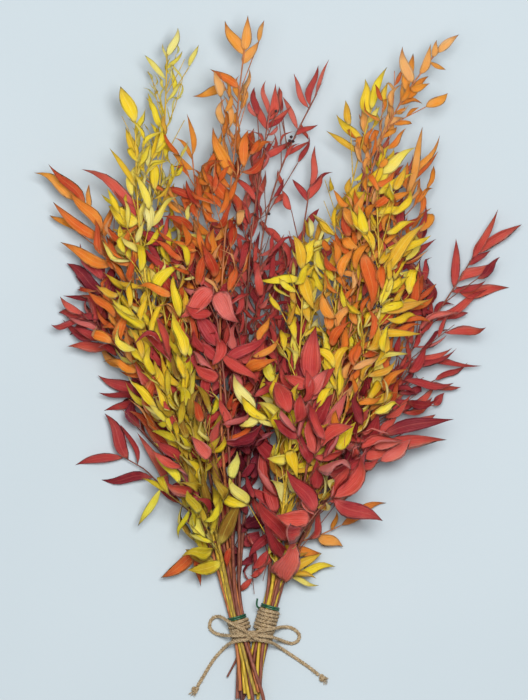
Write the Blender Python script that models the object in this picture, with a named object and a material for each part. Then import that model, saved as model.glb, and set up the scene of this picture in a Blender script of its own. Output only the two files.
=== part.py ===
"""A tied bunch of dried, dyed ruscus, lying on a table.

Two half bunches of twelve stems are each held by a green tie and a wrap of twine. A binding of
twine holds both halves side by side, and its bow lies over it, with two loops and two tails.
Each stem carries twigs, and stems and twigs carry leaves. A few twigs and leaves are set by hand,
and the rest follow a rule, bent or turned until they miss everything that is already there.

Lengths are in millimetres, from the middle of the tie: X across, Y along the stems to their tips,
Z up from the table. MM turns them into metres where a mesh is made.
"""

import math
import random
from dataclasses import dataclass, replace

import bmesh
import bpy
import numpy as np
from mathutils import Matrix, Vector
from mathutils.bvhtree import BVHTree

MM = 0.001

# Stems where they are held
STEM_RADIUS = 1.6
STEM_SIDES = 4
TIP_RADIUS = 0.95
BUTT_Y = -60.0
HELD = (-11.0, 25.0)
LEAN = math.radians(15.5)
HALF_BUNCH_X = 10.7
ROW = 3.12
GAP = 0.35

# Twine and ties. The wraps and ties stand square to their half bunch, the binding square to Y.
TWINE = 3.4
TIE_WIRE = 1.8
RING_DIRECTIONS = 12
RING_OUT = STEM_RADIUS + GAP + TWINE
LOWEST_ROW_Z = RING_OUT * math.cos(math.pi / RING_DIRECTIONS)
BINDING = (-9.9, 3)
WRAPS = {"left": (3.3, 2), "right": (3.3, 5)}
PRESSED = 1.3

# The bow. Its knot sits on the binding, and its loops and tails run down to the table.
KNOT = ((0.0, -4.2, 21.4), (6.6, 5.6, 3.4))
TAIL_KNOTS = {"left": (-52.6, -55.1), "right": (65.0, -44.0)}
TAIL_KNOT_HALF = (4.4, 3.5, 3.3)
CORD_RADIUS = 1.75
CORD_STEP = 6.0
LOOPS = {
    "left": ((-5.6, -0.3, 22.1), (-11, 2.6, 22.4), (-17.3, 6.2, 21.9), (-23.4, 9.7, 17.3),
             (-27.6, 12.1, 10.2), (-31.8, 12.9, 4.2), (-36.4, 11.2, 2.2), (-39, 6.8, 1.85),
             (-38.8, 1.8, 1.85), (-35, -2.1, 2.5), (-29.6, -3.9, 4.9), (-24.9, -4.4, 10.4),
             (-20, -4.4, 17.4), (-13.6, -4.3, 21.9), (-7.2, -4.2, 22.1)),
    "right": ((5.6, -0.3, 22.1), (11.4, 0.7, 22.4), (17.6, 1.7, 20.6), (22.9, 2.4, 15.0),
              (26.2, 2.9, 8.2), (30.6, 3.1, 3.4), (36, 2.3, 1.95), (41.2, -0.9, 1.85),
              (43.8, -5.4, 1.85), (41.8, -10.2, 1.85), (36.6, -12.2, 2.0), (31, -10.9, 3.2),
              (26.4, -9, 8), (22.2, -7.2, 14.8), (17, -5.6, 20.4), (12, -4.6, 22.3),
              (7.2, -4.2, 22.1)),
}
TAILS = {
    "left": ((-5.6, -8.3, 22.1), (-11.2, -8.8, 22.3), (-17, -10, 19.2), (-21.7, -12.3, 12.6),
             (-25.3, -15.6, 6.2), (-29.8, -20.4, 2.5), (-35, -26.4, 1.85), (-40.6, -35, 1.85),
             (-45.6, -43.6, 1.85), (-50.5, -51.6, 1.85)),
    "right": ((5.6, -8.3, 22.1), (11.2, -9, 22.3), (16.8, -10.7, 19), (21.3, -13, 12.2),
              (24.9, -15.4, 6), (29.6, -18.6, 2.5), (36, -22.8, 1.85), (45, -28.9, 1.85),
              (54, -35.2, 1.85), (61.6, -41.3, 1.85)),
}

# Stems below the tie, where the half bunches cross
CROSS_DEPTH = 26.0
CROSS_LIFT = 3.0

# Leaves and twigs
LEAF_HALF_THICK = 0.6
LEAF_STATIONS = ((9.0, (0.4,)), (18.5, (0.3, 0.68)), (99.0, (0.2, 0.46, 0.76)))
LEAF_ROOT_HALF = 0.32
TWIG_RADII = (0.72, 0.6)
SPRIG_RADIUS = 0.95
BERRY_RADIUS = 1.5
SUNK = 2.6
TWIG_SPACING = 50.0
LEAF_SPACING = 14.5
TWIG_LEAF_TURNS = ((0,), (0,), (0, 2))
CROWN_LEAF_TURNS = (0, 1, 3)
CLEAR = 0.4
TABLE_CLEAR = 0.4
LEAF_LOWEST = 0.1
LAID_BELOW = 5.0
TRIES = 12

# Heights at which the stems' tubes may have rings, and how far a route may miss a point it drops
STRAIGHT = 0.8
LEVELS = (-68, -48, -30, -11, 25, 42, 62, 90, 122, 158, 196, 236, 278, 320, 362, 404, 446, 490,
          530, 570)


@dataclass(frozen=True)
class Dye:
    """The colour that a stem and its leaves were dyed, with how shiny it dried."""

    colour: tuple
    roughness: float


DYES = {
    "red": Dye((0.52, 0.085, 0.075), 0.55),
    "dark_red": Dye((0.22, 0.035, 0.04), 0.6),
    "orange": Dye((0.72, 0.22, 0.05), 0.55),
    "yellow": Dye((0.80, 0.60, 0.04), 0.55),
    "olive": Dye((0.50, 0.46, 0.05), 0.6),
}


@dataclass(frozen=True)
class Sprig:
    """A twig set by hand. It leaves its stem at a height, passes its points and holds its leaves.

    Each leaf is (how far along the sprig, tip x, tip y, tip z, width). A sprig with no points
    stands for the stem itself there.
    """

    start: float
    points: tuple
    leaves: tuple


@dataclass(frozen=True)
class Stem:
    """A leafy stem: its place in the tie, its way up, and how it is leafed."""

    name: str
    dye: str
    side: int
    row: int
    place: float
    level: float
    route: tuple
    leaf: float
    slim: float
    bare: float
    sprigs: tuple = ()
    berries: tuple = ()


def bare_leaf(height, x, y, z, width):
    """One leaf set by hand straight on the stem."""
    return Sprig(height, (), ((0.0, x, y, z, width),))


# The half bunch that leans to the left, X below 0
LEFT_STEMS = (
    Stem("red_far_left", "red", -1, 0, -3.6, 19,
         ((-31, 58), (-53, 108), (-78, 160), (-100, 212), (-119, 262), (-132, 300), (-140, 326)),
         42, 0.27, 150,
         (Sprig(104, ((-78, 128, 14), (-99, 149, 10), (-118, 160, 8)),
                ((1.0, -165, 154, 1, 9), (0.95, -136, 201, 14, 13), (0.62, -142, 141, 0.6, 10),
                 (0.84, -121, 193, 20, 6), (0.4, -106, 184, 20, 9), (0.36, -54, 141, 30, 12))),
          Sprig(196, ((-106, 219, 12),),
                ((1.0, -143, 236, 8, 13), (0.88, -138, 203, 4, 8), (0.7, -142, 220, 16, 6))),
          Sprig(258, ((-138, 281, 14), (-150, 287, 12)),
                ((1.0, -179, 294, 8, 13), (0.9, -169, 274, 2, 10), (0.6, -146, 312, 20, 11))),
          bare_leaf(290, -172, 296, 12, 11),
          bare_leaf(304, -175, 309, 24, 7),
          bare_leaf(312, -172, 341, 14, 13),
          bare_leaf(326, -159, 358, 24, 12))),
    Stem("orange_far_left", "orange", -1, 1, -5.4, 38,
         ((-32, 58), (-48, 108), (-67, 165), (-86, 220), (-104, 275), (-120, 325), (-141, 372),
          (-163, 399)),
         44, 0.25, 150,
         (Sprig(66, ((-42, 76, 24), (-52, 75, 18)),
                ((1.0, -63, 66, 12, 8), (0.88, -47, 41, 12, 7), (0.6, -48, 91, 26, 6))),
          bare_leaf(170, -114, 203, 30, 14),
          bare_leaf(338, -177, 359, 28, 12),
          bare_leaf(360, -184, 396, 30, 11),
          bare_leaf(366, -169, 407, 48, 12),
          bare_leaf(397, -201, 423, 36, 11),
          bare_leaf(390, -189, 430, 48, 10))),
    Stem("yellow_left", "yellow", -1, 2, -3.6, 62,
         ((-29, 58), (-41, 108), (-56, 160), (-73, 215), (-88, 270), (-98, 325), (-104, 375),
          (-107, 425), (-107, 470)),
         38, 0.28, 150,
         (bare_leaf(470, -121, 502, 60, 13),
          bare_leaf(432, -117, 464, 54, 9),
          bare_leaf(408, -131, 445, 58, 6),
          bare_leaf(376, -132, 392, 66, 16),
          bare_leaf(192, -100, 209, 72, 9),
          bare_leaf(196, -51, 245, 80, 9))),
    Stem("yellow_tall", "yellow", -1, 1, -1.8, 47,
         ((-26, 58), (-38, 108), (-52, 165), (-66, 220), (-78, 275), (-86, 330), (-88, 380),
          (-84, 425), (-79, 465), (-80, 505), (-78, 532)),
         28, 0.2, 240,
         (bare_leaf(532, -68, 556, 48, 8),
          bare_leaf(508, -99, 531, 44, 6),
          bare_leaf(462, -98, 492, 50, 7),
          bare_leaf(446, -70, 440, 44, 3))),
    Stem("red_left_inner", "red", -1, 2, 0.0, 54,
         ((-22, 58), (-32, 108), (-43, 165), (-52, 220), (-60, 275), (-68, 325), (-79, 358),
          (-90, 377)),
         42, 0.3, 110,
         (bare_leaf(376, -157, 426, 62, 13),
          bare_leaf(370, -133, 406, 54, 9),
          bare_leaf(358, -103, 368, 66, 12),
          bare_leaf(322, -100, 355, 68, 9),
          bare_leaf(160, -73, 178, 66, 11))),
    Stem("orange_left_inner", "orange", -1, 1, 1.8, 50,
         ((-20, 58), (-27, 108), (-34, 165), (-38, 220), (-42, 275), (-46, 325), (-50, 375),
          (-52, 410), (-56, 440)),
         36, 0.28, 130,
         (bare_leaf(440, -60, 477, 50, 6),
          bare_leaf(425, -73, 442, 44, 7),
          bare_leaf(398, -82, 408, 54, 8),
          bare_leaf(412, -31, 440, 58, 9))),
    Stem("orange_tall", "orange", -1, 2, 3.6, 66,
         ((-17, 58), (-22, 108), (-27, 165), (-29, 220), (-30, 275), (-28, 325), (-24, 375),
          (-19, 420), (-14, 460), (-12, 500), (-6, 536)),
         36, 0.3, 140,
         (bare_leaf(536, -4, 567, 64, 10),
          bare_leaf(530, -26, 562, 66, 11),
          bare_leaf(534, -4, 504, 60, 8),
          bare_leaf(500, -39, 518, 62, 9),
          Sprig(486, ((-23, 499, 62),), ((1.0, -55, 493, 58, 9),)),
          bare_leaf(418, -36, 464, 76, 12),
          bare_leaf(396, -44, 424, 78, 13))),
    Stem("red_big_left", "red", -1, 3, 1.8, 76,
         ((-17, 58), (-19, 108), (-21, 165), (-24, 220), (-29, 262), (-33, 296), (-36, 318)),
         44, 0.42, 120,
         (bare_leaf(316, -68, 290, 82, 19),
          bare_leaf(318, -10, 284, 86, 21),
          bare_leaf(262, -54, 305, 80, 21),
          bare_leaf(250, -54, 266, 86, 11),
          bare_leaf(256, 9, 231, 90, 11),
          bare_leaf(246, 16, 275, 82, 12),
          bare_leaf(186, -30, 216, 84, 9))),
    Stem("red_tall_inner", "red", -1, 1, 5.4, 44,
         ((-12, 58), (-12, 108), (-11, 165), (-9, 220), (-6, 275), (-4, 325), (0, 375), (6, 415),
          (12, 450), (17, 478)),
         34, 0.24, 120,
         (bare_leaf(478, 13, 508, 46, 6),
          bare_leaf(470, 22, 505, 50, 10),
          bare_leaf(462, 2, 498, 42, 8),
          bare_leaf(466, 36, 484, 44, 6)),
         (474, 384)),
    Stem("dark_red_low", "dark_red", -1, 0, 0.0, 28,
         ((-18, 58), (-17, 100), (-15, 150), (-11, 200), (-6, 236)),
         36, 0.38, 50),
    Stem("red_tall_right", "red", -1, 0, 3.6, 34,
         ((-11, 58), (-7, 108), (-3, 165), (1, 220), (3, 275), (5, 325), (10, 370), (20, 410),
          (34, 446), (48, 476), (64, 496)),
         32, 0.2, 140,
         (bare_leaf(496, 71, 528, 30, 4),
          bare_leaf(484, 62, 524, 34, 8),
          bare_leaf(482, 39, 515, 36, 6),
          bare_leaf(468, 52, 453, 26, 5),
          bare_leaf(462, 28, 493, 38, 6),
          bare_leaf(438, 54, 452, 30, 5)),
         (452,)),
    Stem("olive_left", "olive", -1, 3, -1.8, 74,
         ((-26, 58), (-34, 95), (-43, 135), (-52, 175), (-60, 208), (-67, 236)),
         38, 0.3, 60,
         (bare_leaf(64, -61, 56, 40, 13),
          bare_leaf(78, -13, 118, 66, 14),
          Sprig(92, ((-62, 116, 56), (-84, 132, 44)),
                ((1.0, -106, 99, 22, 8), (0.92, -104, 140, 40, 5), (0.5, -67, 86, 32, 5))),
          Sprig(118, ((-66, 136, 66),), ((1.0, -91, 169, 62, 10),)),
          bare_leaf(110, -46, 152, 82, 8))),
)

# The half bunch that leans to the right, X above 0
RIGHT_STEMS = (
    Stem("yellow_centre", "yellow", 1, 3, -1.8, 76,
         ((21, 58), (28, 108), (34, 165), (40, 220), (45, 270), (47, 315), (46, 340)),
         34, 0.32, 64,
         (bare_leaf(340, 59, 362, 80, 12),
          bare_leaf(332, 41, 370, 84, 12),
          bare_leaf(322, 4, 326, 76, 9),
          bare_leaf(330, 56, 297, 92, 13),
          bare_leaf(182, 45, 232, 88, 11),
          bare_leaf(172, 63, 208, 84, 11),
          bare_leaf(160, 14, 160, 84, 11),
          bare_leaf(168, 42, 142, 92, 11),
          bare_leaf(150, 80, 148, 74, 6),
          Sprig(178, ((18, 194, 84), (3, 203, 82)),
                ((1.0, -17, 238, 80, 13), (0.8, -12, 190, 84, 10))))),
    Stem("red_big_right", "red", 1, 3, 1.8, 84,
         ((28, 58), (37, 92), (47, 130), (53, 168), (55, 200), (53, 232)),
         46, 0.42, 60,
         (Sprig(74, ((48, 96, 74), (62, 114, 72), (74, 123, 68)),
                ((1.0, 120, 102, 56, 17), (0.68, 22, 107, 84, 21), (0.76, 29, 151, 84, 16),
                 (0.95, 103, 141, 60, 12))),
          bare_leaf(82, 3, 124, 76, 18),
          bare_leaf(66, 12, 102, 64, 15),
          bare_leaf(232, 59, 282, 90, 20),
          bare_leaf(228, 21, 232, 92, 17),
          bare_leaf(222, 78, 243, 84, 10),
          bare_leaf(206, 75, 212, 82, 15),
          bare_leaf(160, 87, 222, 78, 17))),
    Stem("red_inner_right", "red", 1, 2, -3.6, 42,
         ((17, 58), (20, 108), (23, 165), (28, 220), (33, 275), (40, 325), (48, 375), (55, 412)),
         34, 0.3, 55,
         (bare_leaf(412, 58, 448, 44, 7),
          bare_leaf(408, 79, 428, 42, 6),
          bare_leaf(396, 37, 417, 42, 7),
          bare_leaf(150, 3, 180, 60, 15))),
    Stem("orange_right", "orange", 1, 2, 0.0, 66,
         ((25, 58), (42, 108), (60, 165), (76, 220), (90, 275), (100, 325), (104, 370),
          (106, 410), (116, 448), (132, 480), (150, 510), (174, 534)),
         31, 0.34, 120,
         (bare_leaf(534, 190, 549, 68, 8),
          bare_leaf(528, 170, 544, 70, 7),
          bare_leaf(524, 178, 517, 62, 5),
          bare_leaf(512, 164, 541, 70, 8),
          bare_leaf(504, 138, 538, 72, 11),
          bare_leaf(496, 147, 533, 60, 10),
          bare_leaf(490, 163, 512, 58, 8),
          bare_leaf(350, 108, 296, 88, 15))),
    Stem("yellow_right_outer", "yellow", 1, 2, 3.6, 72,
         ((30, 58), (50, 108), (72, 165), (92, 220), (108, 265), (117, 310), (117, 345),
          (114, 385), (115, 425)),
         34, 0.32, 130,
         (Sprig(40, ((29, 50, 20), (40, 52, 18)), ((1.0, 77, 59, 10, 9), (0.7, 65, 72, 22, 10))),
          bare_leaf(425, 151, 446, 78, 12),
          bare_leaf(420, 135, 454, 84, 9),
          bare_leaf(402, 150, 421, 80, 8),
          bare_leaf(384, 146, 395, 78, 8),
          bare_leaf(340, 165, 364, 78, 12),
          bare_leaf(326, 160, 374, 88, 13),
          bare_leaf(296, 164, 306, 72, 9),
          bare_leaf(270, 156, 275, 74, 9)),
         (300,)),
    Stem("yellow_right", "yellow", 1, 1, -5.4, 54,
         ((19, 58), (34, 108), (50, 165), (64, 220), (74, 275), (80, 325), (84, 375), (92, 415),
          (102, 450), (112, 482)),
         34, 0.28, 120,
         (bare_leaf(482, 122, 521, 58, 8),
          bare_leaf(474, 104, 509, 56, 11),
          bare_leaf(452, 77, 476, 58, 9),
          bare_leaf(440, 68, 461, 52, 7),
          bare_leaf(405, 121, 398, 66, 9))),
    Stem("red_mid_right", "red", 1, 1, -1.8, 42,
         ((23, 58), (43, 108), (64, 165), (82, 220), (97, 275), (107, 325), (112, 370),
          (115, 405), (121, 432)),
         34, 0.3, 130,
         (bare_leaf(432, 127, 458, 42, 7),
          bare_leaf(410, 140, 430, 40, 8),
          bare_leaf(330, 150, 338, 48, 11))),
    Stem("orange_right_outer", "orange", 1, 1, 1.8, 47,
         ((28, 58), (52, 108), (78, 165), (100, 220), (118, 275), (131, 325), (138, 370),
          (144, 412)),
         32, 0.27, 130,
         (Sprig(79, ((45, 82.5, 17.5), (62, 88, 12), (82, 97, 9)),
                ((1.0, 124, 118, 3, 10), (0.5, 84, 77, 6, 12), (0.8, 78, 111, 18, 5))),
          bare_leaf(412, 173, 457, 48, 7),
          bare_leaf(402, 171, 443, 42, 6),
          bare_leaf(408, 157, 468, 54, 8))),
    Stem("red_low_right", "red", 1, 1, 5.4, 58,
         ((32, 58), (53, 98), (76, 132), (104, 165), (134, 182)),
         44, 0.36, 85,
         (bare_leaf(181, 186, 196, 58, 13),
          bare_leaf(180, 188, 176, 50, 15),
          bare_leaf(162, 130, 163, 46, 12),
          bare_leaf(164, 117, 201, 68, 16),
          bare_leaf(142, 60, 160, 62, 12))),
    Stem("red_right", "red", 1, 0, -3.6, 31,
         ((22, 58), (45, 108), (70, 165), (94, 220), (116, 275), (134, 320), (149, 352)),
         34, 0.3, 130,
         (bare_leaf(352, 161, 394, 32, 6),
          bare_leaf(340, 170, 362, 26, 7),
          bare_leaf(300, 165, 322, 26, 10)),
         (336,)),
    Stem("red_far_right", "red", 1, 0, 0.0, 20,
         ((28, 58), (56, 108), (86, 160), (114, 208), (142, 252), (168, 290), (192, 324),
          (214, 350)),
         42, 0.25, 150,
         (bare_leaf(350, 249, 376, 16, 12),
          bare_leaf(346, 229, 390, 30, 7),
          bare_leaf(318, 238, 317, 4, 12),
          bare_leaf(322, 220, 339, 20, 10),
          bare_leaf(316, 188, 363, 26, 9),
          bare_leaf(292, 219, 316, 8, 9))),
    Stem("red_right_mid", "red", 1, 0, 3.6, 33,
         ((30, 58), (56, 104), (84, 150), (110, 192), (134, 226), (156, 252)),
         42, 0.25, 110,
         (bare_leaf(252, 213, 245, 14, 8),
          bare_leaf(250, 196, 284, 34, 11),
          bare_leaf(246, 187, 261, 24, 9),
          bare_leaf(232, 186, 229, 22, 8),
          Sprig(196, ((142, 207, 22), (168, 208, 14)), ((1.0, 178, 220, 12, 8),)),
          bare_leaf(208, 155, 214, 28, 12))),
)
STEMS = LEFT_STEMS + RIGHT_STEMS


def smoothstep(value):
    """Rises from 0 to 1 as the value does, with flat ends."""
    value = min(max(value, 0.0), 1.0)
    return value * value * (3 - 2 * value)


def curve_through(points, at):
    """The second coordinate of a smooth curve through (first, second) points, at a first one."""
    k = 0
    while k < len(points) - 2 and at > points[k + 1][0]:
        k += 1

    def slope(i):
        low, high = max(i - 1, 0), min(i + 1, len(points) - 1)
        return (points[high][1] - points[low][1]) / (points[high][0] - points[low][0])

    (a, start), (b, end) = points[k], points[k + 1]
    span = b - a
    t = min(max((at - a) / span, 0.0), 1.0)
    return (
        (1 + 2 * t) * (1 - t) ** 2 * start
        + t * t * (3 - 2 * t) * end
        + t * (1 - t) * span * ((1 - t) * slope(k) - t * slope(k + 1))
    )


def held_place(stem, y):
    """Where a stem lies in the straight stretch that the tie holds, as (x, z)."""
    middle = stem.side * (HALF_BUNCH_X + math.tan(LEAN) * y)
    return middle + stem.place / math.cos(LEAN), LOWEST_ROW_Z + stem.row * ROW


def planned_place(stem, y):
    """Where a stem is meant to pass at a height, as (x, z), before it is bent clear."""
    x, z = held_place(stem, y)
    if y < HELD[0]:
        # The upper rows of the left half pass over the lower rows of the right half.
        x, z = held_place(stem, HELD[0])
        upper = stem.row / 3
        crossing = upper if stem.side < 0 else 1 - 0.6 * upper
        down = HELD[0] - y
        x += -stem.side * math.tan(LEAN) * crossing * down + 0.004 * stem.place * down
        z -= stem.side * CROSS_LIFT * smoothstep(down / CROSS_DEPTH)
    elif y > HELD[1]:
        straight = [(at, held_place(stem, at)[0]) for at in (HELD[0], HELD[1])]
        x = curve_through(straight + [(there, across) for across, there in stem.route], y)
        z += (stem.level - z) * smoothstep((y - HELD[1]) / 165)
    return x, z


def stem_routes():
    """Each stem's points from its butt to its tip, bent until all stems are clear of each other."""
    draw = random.Random("butts")
    butts = [BUTT_Y + draw.uniform(-6, 5) for _ in STEMS]
    tops = [stem.route[-1][1] for stem in STEMS]
    count = len(LEVELS)
    place = np.array([[planned_place(stem, min(y, top)) for y in LEVELS]
                      for stem, top in zip(STEMS, tops)])
    level = np.array(LEVELS, float)
    there = np.array([(level > butt - 14) & (level < top + 40) for butt, top in zip(butts, tops)])
    loose = there & ((level < HELD[0] - 0.5) | (level > HELD[1] + 0.5))
    radius = np.array([[stem_radius(stem, y) for y in LEVELS] for stem in STEMS])
    step = np.diff(level)[None, :, None]
    first, second = np.triu_indices(len(STEMS), 1)
    for turn in range(220):
        push = np.zeros_like(place)
        stretch = np.ones((len(STEMS), count))
        steep = np.sqrt(1 + ((np.diff(place, axis=1) / step) ** 2).sum(axis=2))
        stretch[:, :-1] = steep
        stretch[:, -1] = steep[:, -1]
        for share in (0.0, 0.25, 0.5, 0.75):
            along = (1 - share) * place[:, :-1] + share * place[:, 1:]
            apart = along[first] - along[second]
            distance = np.maximum(np.linalg.norm(apart, axis=2), 1e-6)
            wide = np.maximum(stretch[first, :-1], stretch[second, :-1])
            need = (radius[first, :-1] + radius[second, :-1] + 0.3) * wide + np.where(
                level[:-1] > 60, 0.8, 0.1)
            both = there[first, :-1] & there[second, :-1]
            short = np.where(both, np.maximum(need - distance, 0.0), 0.0)
            move = 0.3 * short[:, :, None] * apart / distance[:, :, None]
            for pair, sign in ((first, 1), (second, -1)):
                np.add.at(push, (pair, slice(0, count - 1)), sign * (1 - share) * move)
                np.add.at(push, (pair, slice(1, count)), sign * share * move)
        place += np.where(loose[:, :, None], push, 0.0)
        place[:, :, 1] = np.maximum(place[:, :, 1], radius + TABLE_CLEAR)
    routes = []
    for row, (butt, top) in enumerate(zip(butts, tops)):
        ys = [butt] + [y for y in LEVELS if butt + 5 < y < top - 12] + [top]
        route = [Vector((np.interp(y, level, place[row, :, 0]), y,
                         np.interp(y, level, place[row, :, 1]))) for y in ys]
        routes.append(without_straight_points(route))
    return routes


def without_straight_points(route):
    """A route above the tie without the points that lie nearly on the line past them."""
    kept = route[:1]
    for before, point, after in zip(route, route[1:], route[2:]):
        ahead = (after - kept[-1]).normalized()
        aside = max((between - kept[-1]).cross(ahead).length for between in (before, point))
        if point.y < 62 or aside > STRAIGHT or after.y - kept[-1].y > 90:
            kept.append(point)
    return kept + route[-1:]


def stem_radius(stem, y):
    """A stem's radius at a height: even below the foliage, then thinner to its tip."""
    top = stem.route[-1][1]
    share = min(max((y - 60) / (top - 60), 0.0), 1.0)
    return STEM_RADIUS + (TIP_RADIUS - STEM_RADIUS) * share


class Axis:
    """A stem or a twig: its points with a radius at each, and the name of what it is part of."""

    def __init__(self, key, points, radii):
        self.key = key
        self.points = points
        self.radii = radii
        self.reach = [0.0]
        for before, after in zip(points, points[1:]):
            self.reach.append(self.reach[-1] + (after - before).length)
        self.length = self.reach[-1]

    def span(self, distance):
        """The stretch that a distance along the axis lies in, and the share of it passed."""
        k = 0
        while k < len(self.points) - 2 and distance > self.reach[k + 1]:
            k += 1
        return k, (distance - self.reach[k]) / (self.reach[k + 1] - self.reach[k])

    def at(self, distance):
        """The point at a distance along the axis."""
        k, share = self.span(distance)
        return self.points[k].lerp(self.points[k + 1], share)

    def direction(self, distance):
        """The way that the axis runs at a distance along it."""
        k, _ = self.span(distance)
        return (self.points[k + 1] - self.points[k]).normalized()

    def distance_at_height(self, y):
        """How far along the axis a height lies."""
        for k in range(len(self.points) - 1):
            low, high = self.points[k].y, self.points[k + 1].y
            if y <= high:
                return self.reach[k] + (self.reach[k + 1] - self.reach[k]) * (y - low) / (high - low)
        return self.length


def tube(points, radii, sides, swell=0.0):
    """A closed tube along points, as (corners, faces)."""
    corners, faces = [], []
    across = None
    for k, (point, radius) in enumerate(zip(points, radii)):
        ahead = points[min(k + 1, len(points) - 1)] - points[max(k - 1, 0)]
        ahead.normalize()
        if across is None:
            across = Vector((0, 0, 1)).cross(ahead)
        across = (across - across.dot(ahead) * ahead).normalized()
        up = ahead.cross(across)
        for n in range(sides):
            angle = 2 * math.pi * (n + 0.5) / sides
            out = math.cos(angle) * across + math.sin(angle) * up
            corners.append(point + (radius + swell) * out)
    for k in range(len(points) - 1):
        for n in range(sides):
            a, b = k * sides + n, k * sides + (n + 1) % sides
            faces += [(a, b, b + sides), (a, b + sides, a + sides)]
    last = (len(points) - 1) * sides
    faces += [(0, n + 1, n) for n in range(1, sides - 1)]
    faces += [(last, last + n, last + n + 1) for n in range(1, sides - 1)]
    return corners, faces


@dataclass(frozen=True)
class LeafForm:
    """How a leaf departs from a flat straight blade."""

    roll: float
    arch: float
    sweep: float
    twist: float
    fold: float


@dataclass(frozen=True)
class Blade:
    """A leaf: where it starts and ends, its width, its form and where its sections stand."""

    root: Vector
    tip: Vector
    width: float
    form: LeafForm
    stations: tuple


def leaf_width_share(along):
    """A leaf's width at a share of its length, as a share of its widest."""
    return (along ** 0.75) * ((1 - along) ** 1.05) / 0.2945


def frame_along(ahead, roll=0.0):
    """Across and up directions of a section that faces up as far as its way ahead lets it."""
    up = Vector((0, 0, 1)) - ahead.z * ahead
    if up.length < 0.2:
        up = Vector((0, 1, 0)) - ahead.y * ahead
    up.normalize()
    up.rotate(Matrix.Rotation(roll, 3, ahead))
    return ahead.cross(up), up


def twig_sections(points, radii, swell=0.0):
    """A twig's four-cornered sections, each as left, over, right and under."""
    sections = []
    for k, (point, radius) in enumerate(zip(points, radii)):
        ahead = points[min(k + 1, len(points) - 1)] - points[max(k - 1, 0)]
        across, up = frame_along(ahead.normalized())
        half = radius + swell
        sections.append((point - half * across, point + half * up, point + half * across,
                         point - half * up))
    return sections


def leaf_sections(blade, swell=0.0):
    """A leaf's lens-shaped sections at its stations, each as left, over, right and under."""
    length = (blade.tip - blade.root).length
    ahead = (blade.tip - blade.root).normalized()
    across, up = frame_along(ahead, blade.form.roll)
    sections = []
    for share in blade.stations:
        bow = 4 * share * (1 - share) * length
        middle = blade.root + share * length * ahead
        middle += bow * (blade.form.arch * up + blade.form.sweep * across)
        turn = blade.form.twist * (share - 0.3)
        side = math.cos(turn) * across + math.sin(turn) * up
        top = math.cos(turn) * up - math.sin(turn) * across
        half = blade.width / 2 * leaf_width_share(share) + swell
        thick = LEAF_HALF_THICK * (1.0 if share < 0.6 else 0.8) + swell
        raised = half * math.sin(blade.form.fold) * top
        flat = half * math.cos(blade.form.fold) * side
        sections.append((middle - flat + raised, middle + thick * top, middle + flat + raised,
                         middle - thick * top))
    return sections


def loft(sections, tip=None):
    """A closed shape through four-cornered sections, split alike above and below."""
    corners = [corner for section in sections for corner in section]
    faces = [(0, 1, 2), (0, 2, 3)]
    for k in range(len(sections) - 1):
        left, over, right, under = range(4 * k, 4 * k + 4)
        faces += [(left, left + 4, over + 4), (left, over + 4, over),
                  (right, over, over + 4), (right, over + 4, right + 4),
                  (left, under + 4, left + 4), (left, under, under + 4),
                  (right, right + 4, under + 4), (right, under + 4, under)]
    left, over, right, under = range(len(corners) - 4, len(corners))
    if tip is None:
        faces += [(left, right, over), (left, under, right)]
    else:
        corners.append(tip)
        end = under + 1
        faces += [(left, end, over), (over, end, right), (right, end, under), (under, end, left)]
    return corners, faces


def leaf_shape(blade, swell=0.0):
    """A whole leaf, from a narrow root sunk in what carries it to its tip."""
    ahead = (blade.tip - blade.root).normalized()
    root = twig_sections([blade.root, blade.root + ahead], [LEAF_ROOT_HALF] * 2, swell)[:1]
    return loft(root + leaf_sections(blade, swell), blade.tip + swell * ahead)


def laid_down(blade):
    """A leaf whose tip comes near the table, bent down onto it. Another leaf stays as it is."""
    if blade.tip.z > LAID_BELOW:
        return blade
    tip = blade.tip.copy()
    for _ in range(4):
        corners, _ = leaf_shape(replace(blade, tip=tip))
        tip.z -= min(corner.z for corner in corners) - LEAF_LOWEST
    return replace(blade, tip=tip)


def lump(middle, half, around=10, rows=6):
    """A closed egg shape."""
    corners = [Vector((0, 0, -1))]
    for row in range(1, rows):
        low = math.pi * row / rows
        for n in range(around):
            turn = 2 * math.pi * n / around
            corners.append(Vector((math.sin(low) * math.cos(turn), math.sin(low) * math.sin(turn),
                                   -math.cos(low))))
    corners.append(Vector((0, 0, 1)))
    faces = [(0, 1 + (n + 1) % around, 1 + n) for n in range(around)]
    for row in range(rows - 2):
        for n in range(around):
            a, b = 1 + row * around + n, 1 + row * around + (n + 1) % around
            faces += [(a, b, b + around), (a, b + around, a + around)]
    last = len(corners) - 1
    first = last - around
    faces += [(last, first + n, first + (n + 1) % around) for n in range(around)]
    placed = [Vector(middle) + Vector([c * h for c, h in zip(corner, half)]) for corner in corners]
    return placed, faces


class Room:
    """The solids placed so far, which whatever is added has to miss."""

    def __init__(self):
        self.keys = []
        self.trees = []
        self.low = np.zeros((4096, 3))
        self.high = np.zeros((4096, 3))

    def box(self, corners):
        """The lowest and highest corners of a shape."""
        return np.min(corners, axis=0), np.max(corners, axis=0)

    def add(self, key, corners, faces):
        """Keeps a shape under a key."""
        self.low[len(self.keys)], self.high[len(self.keys)] = self.box(corners)
        self.keys.append(key)
        self.trees.append(BVHTree.FromPolygons(corners, faces))

    def free(self, corners, faces, skip):
        """Whether a swollen shape meets neither the table nor anything kept, but for one key."""
        low, high = self.box(corners)
        if low[2] < LEAF_LOWEST - CLEAR:
            return False
        count = len(self.keys)
        near = np.all((self.low[:count] < high) & (self.high[:count] > low), axis=1)
        tree = None
        for k in np.flatnonzero(near):
            if self.keys[k] == skip:
                continue
            if tree is None:
                tree = BVHTree.FromPolygons(corners, faces)
            if tree.overlap(self.trees[k]):
                return False
        return True


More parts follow.
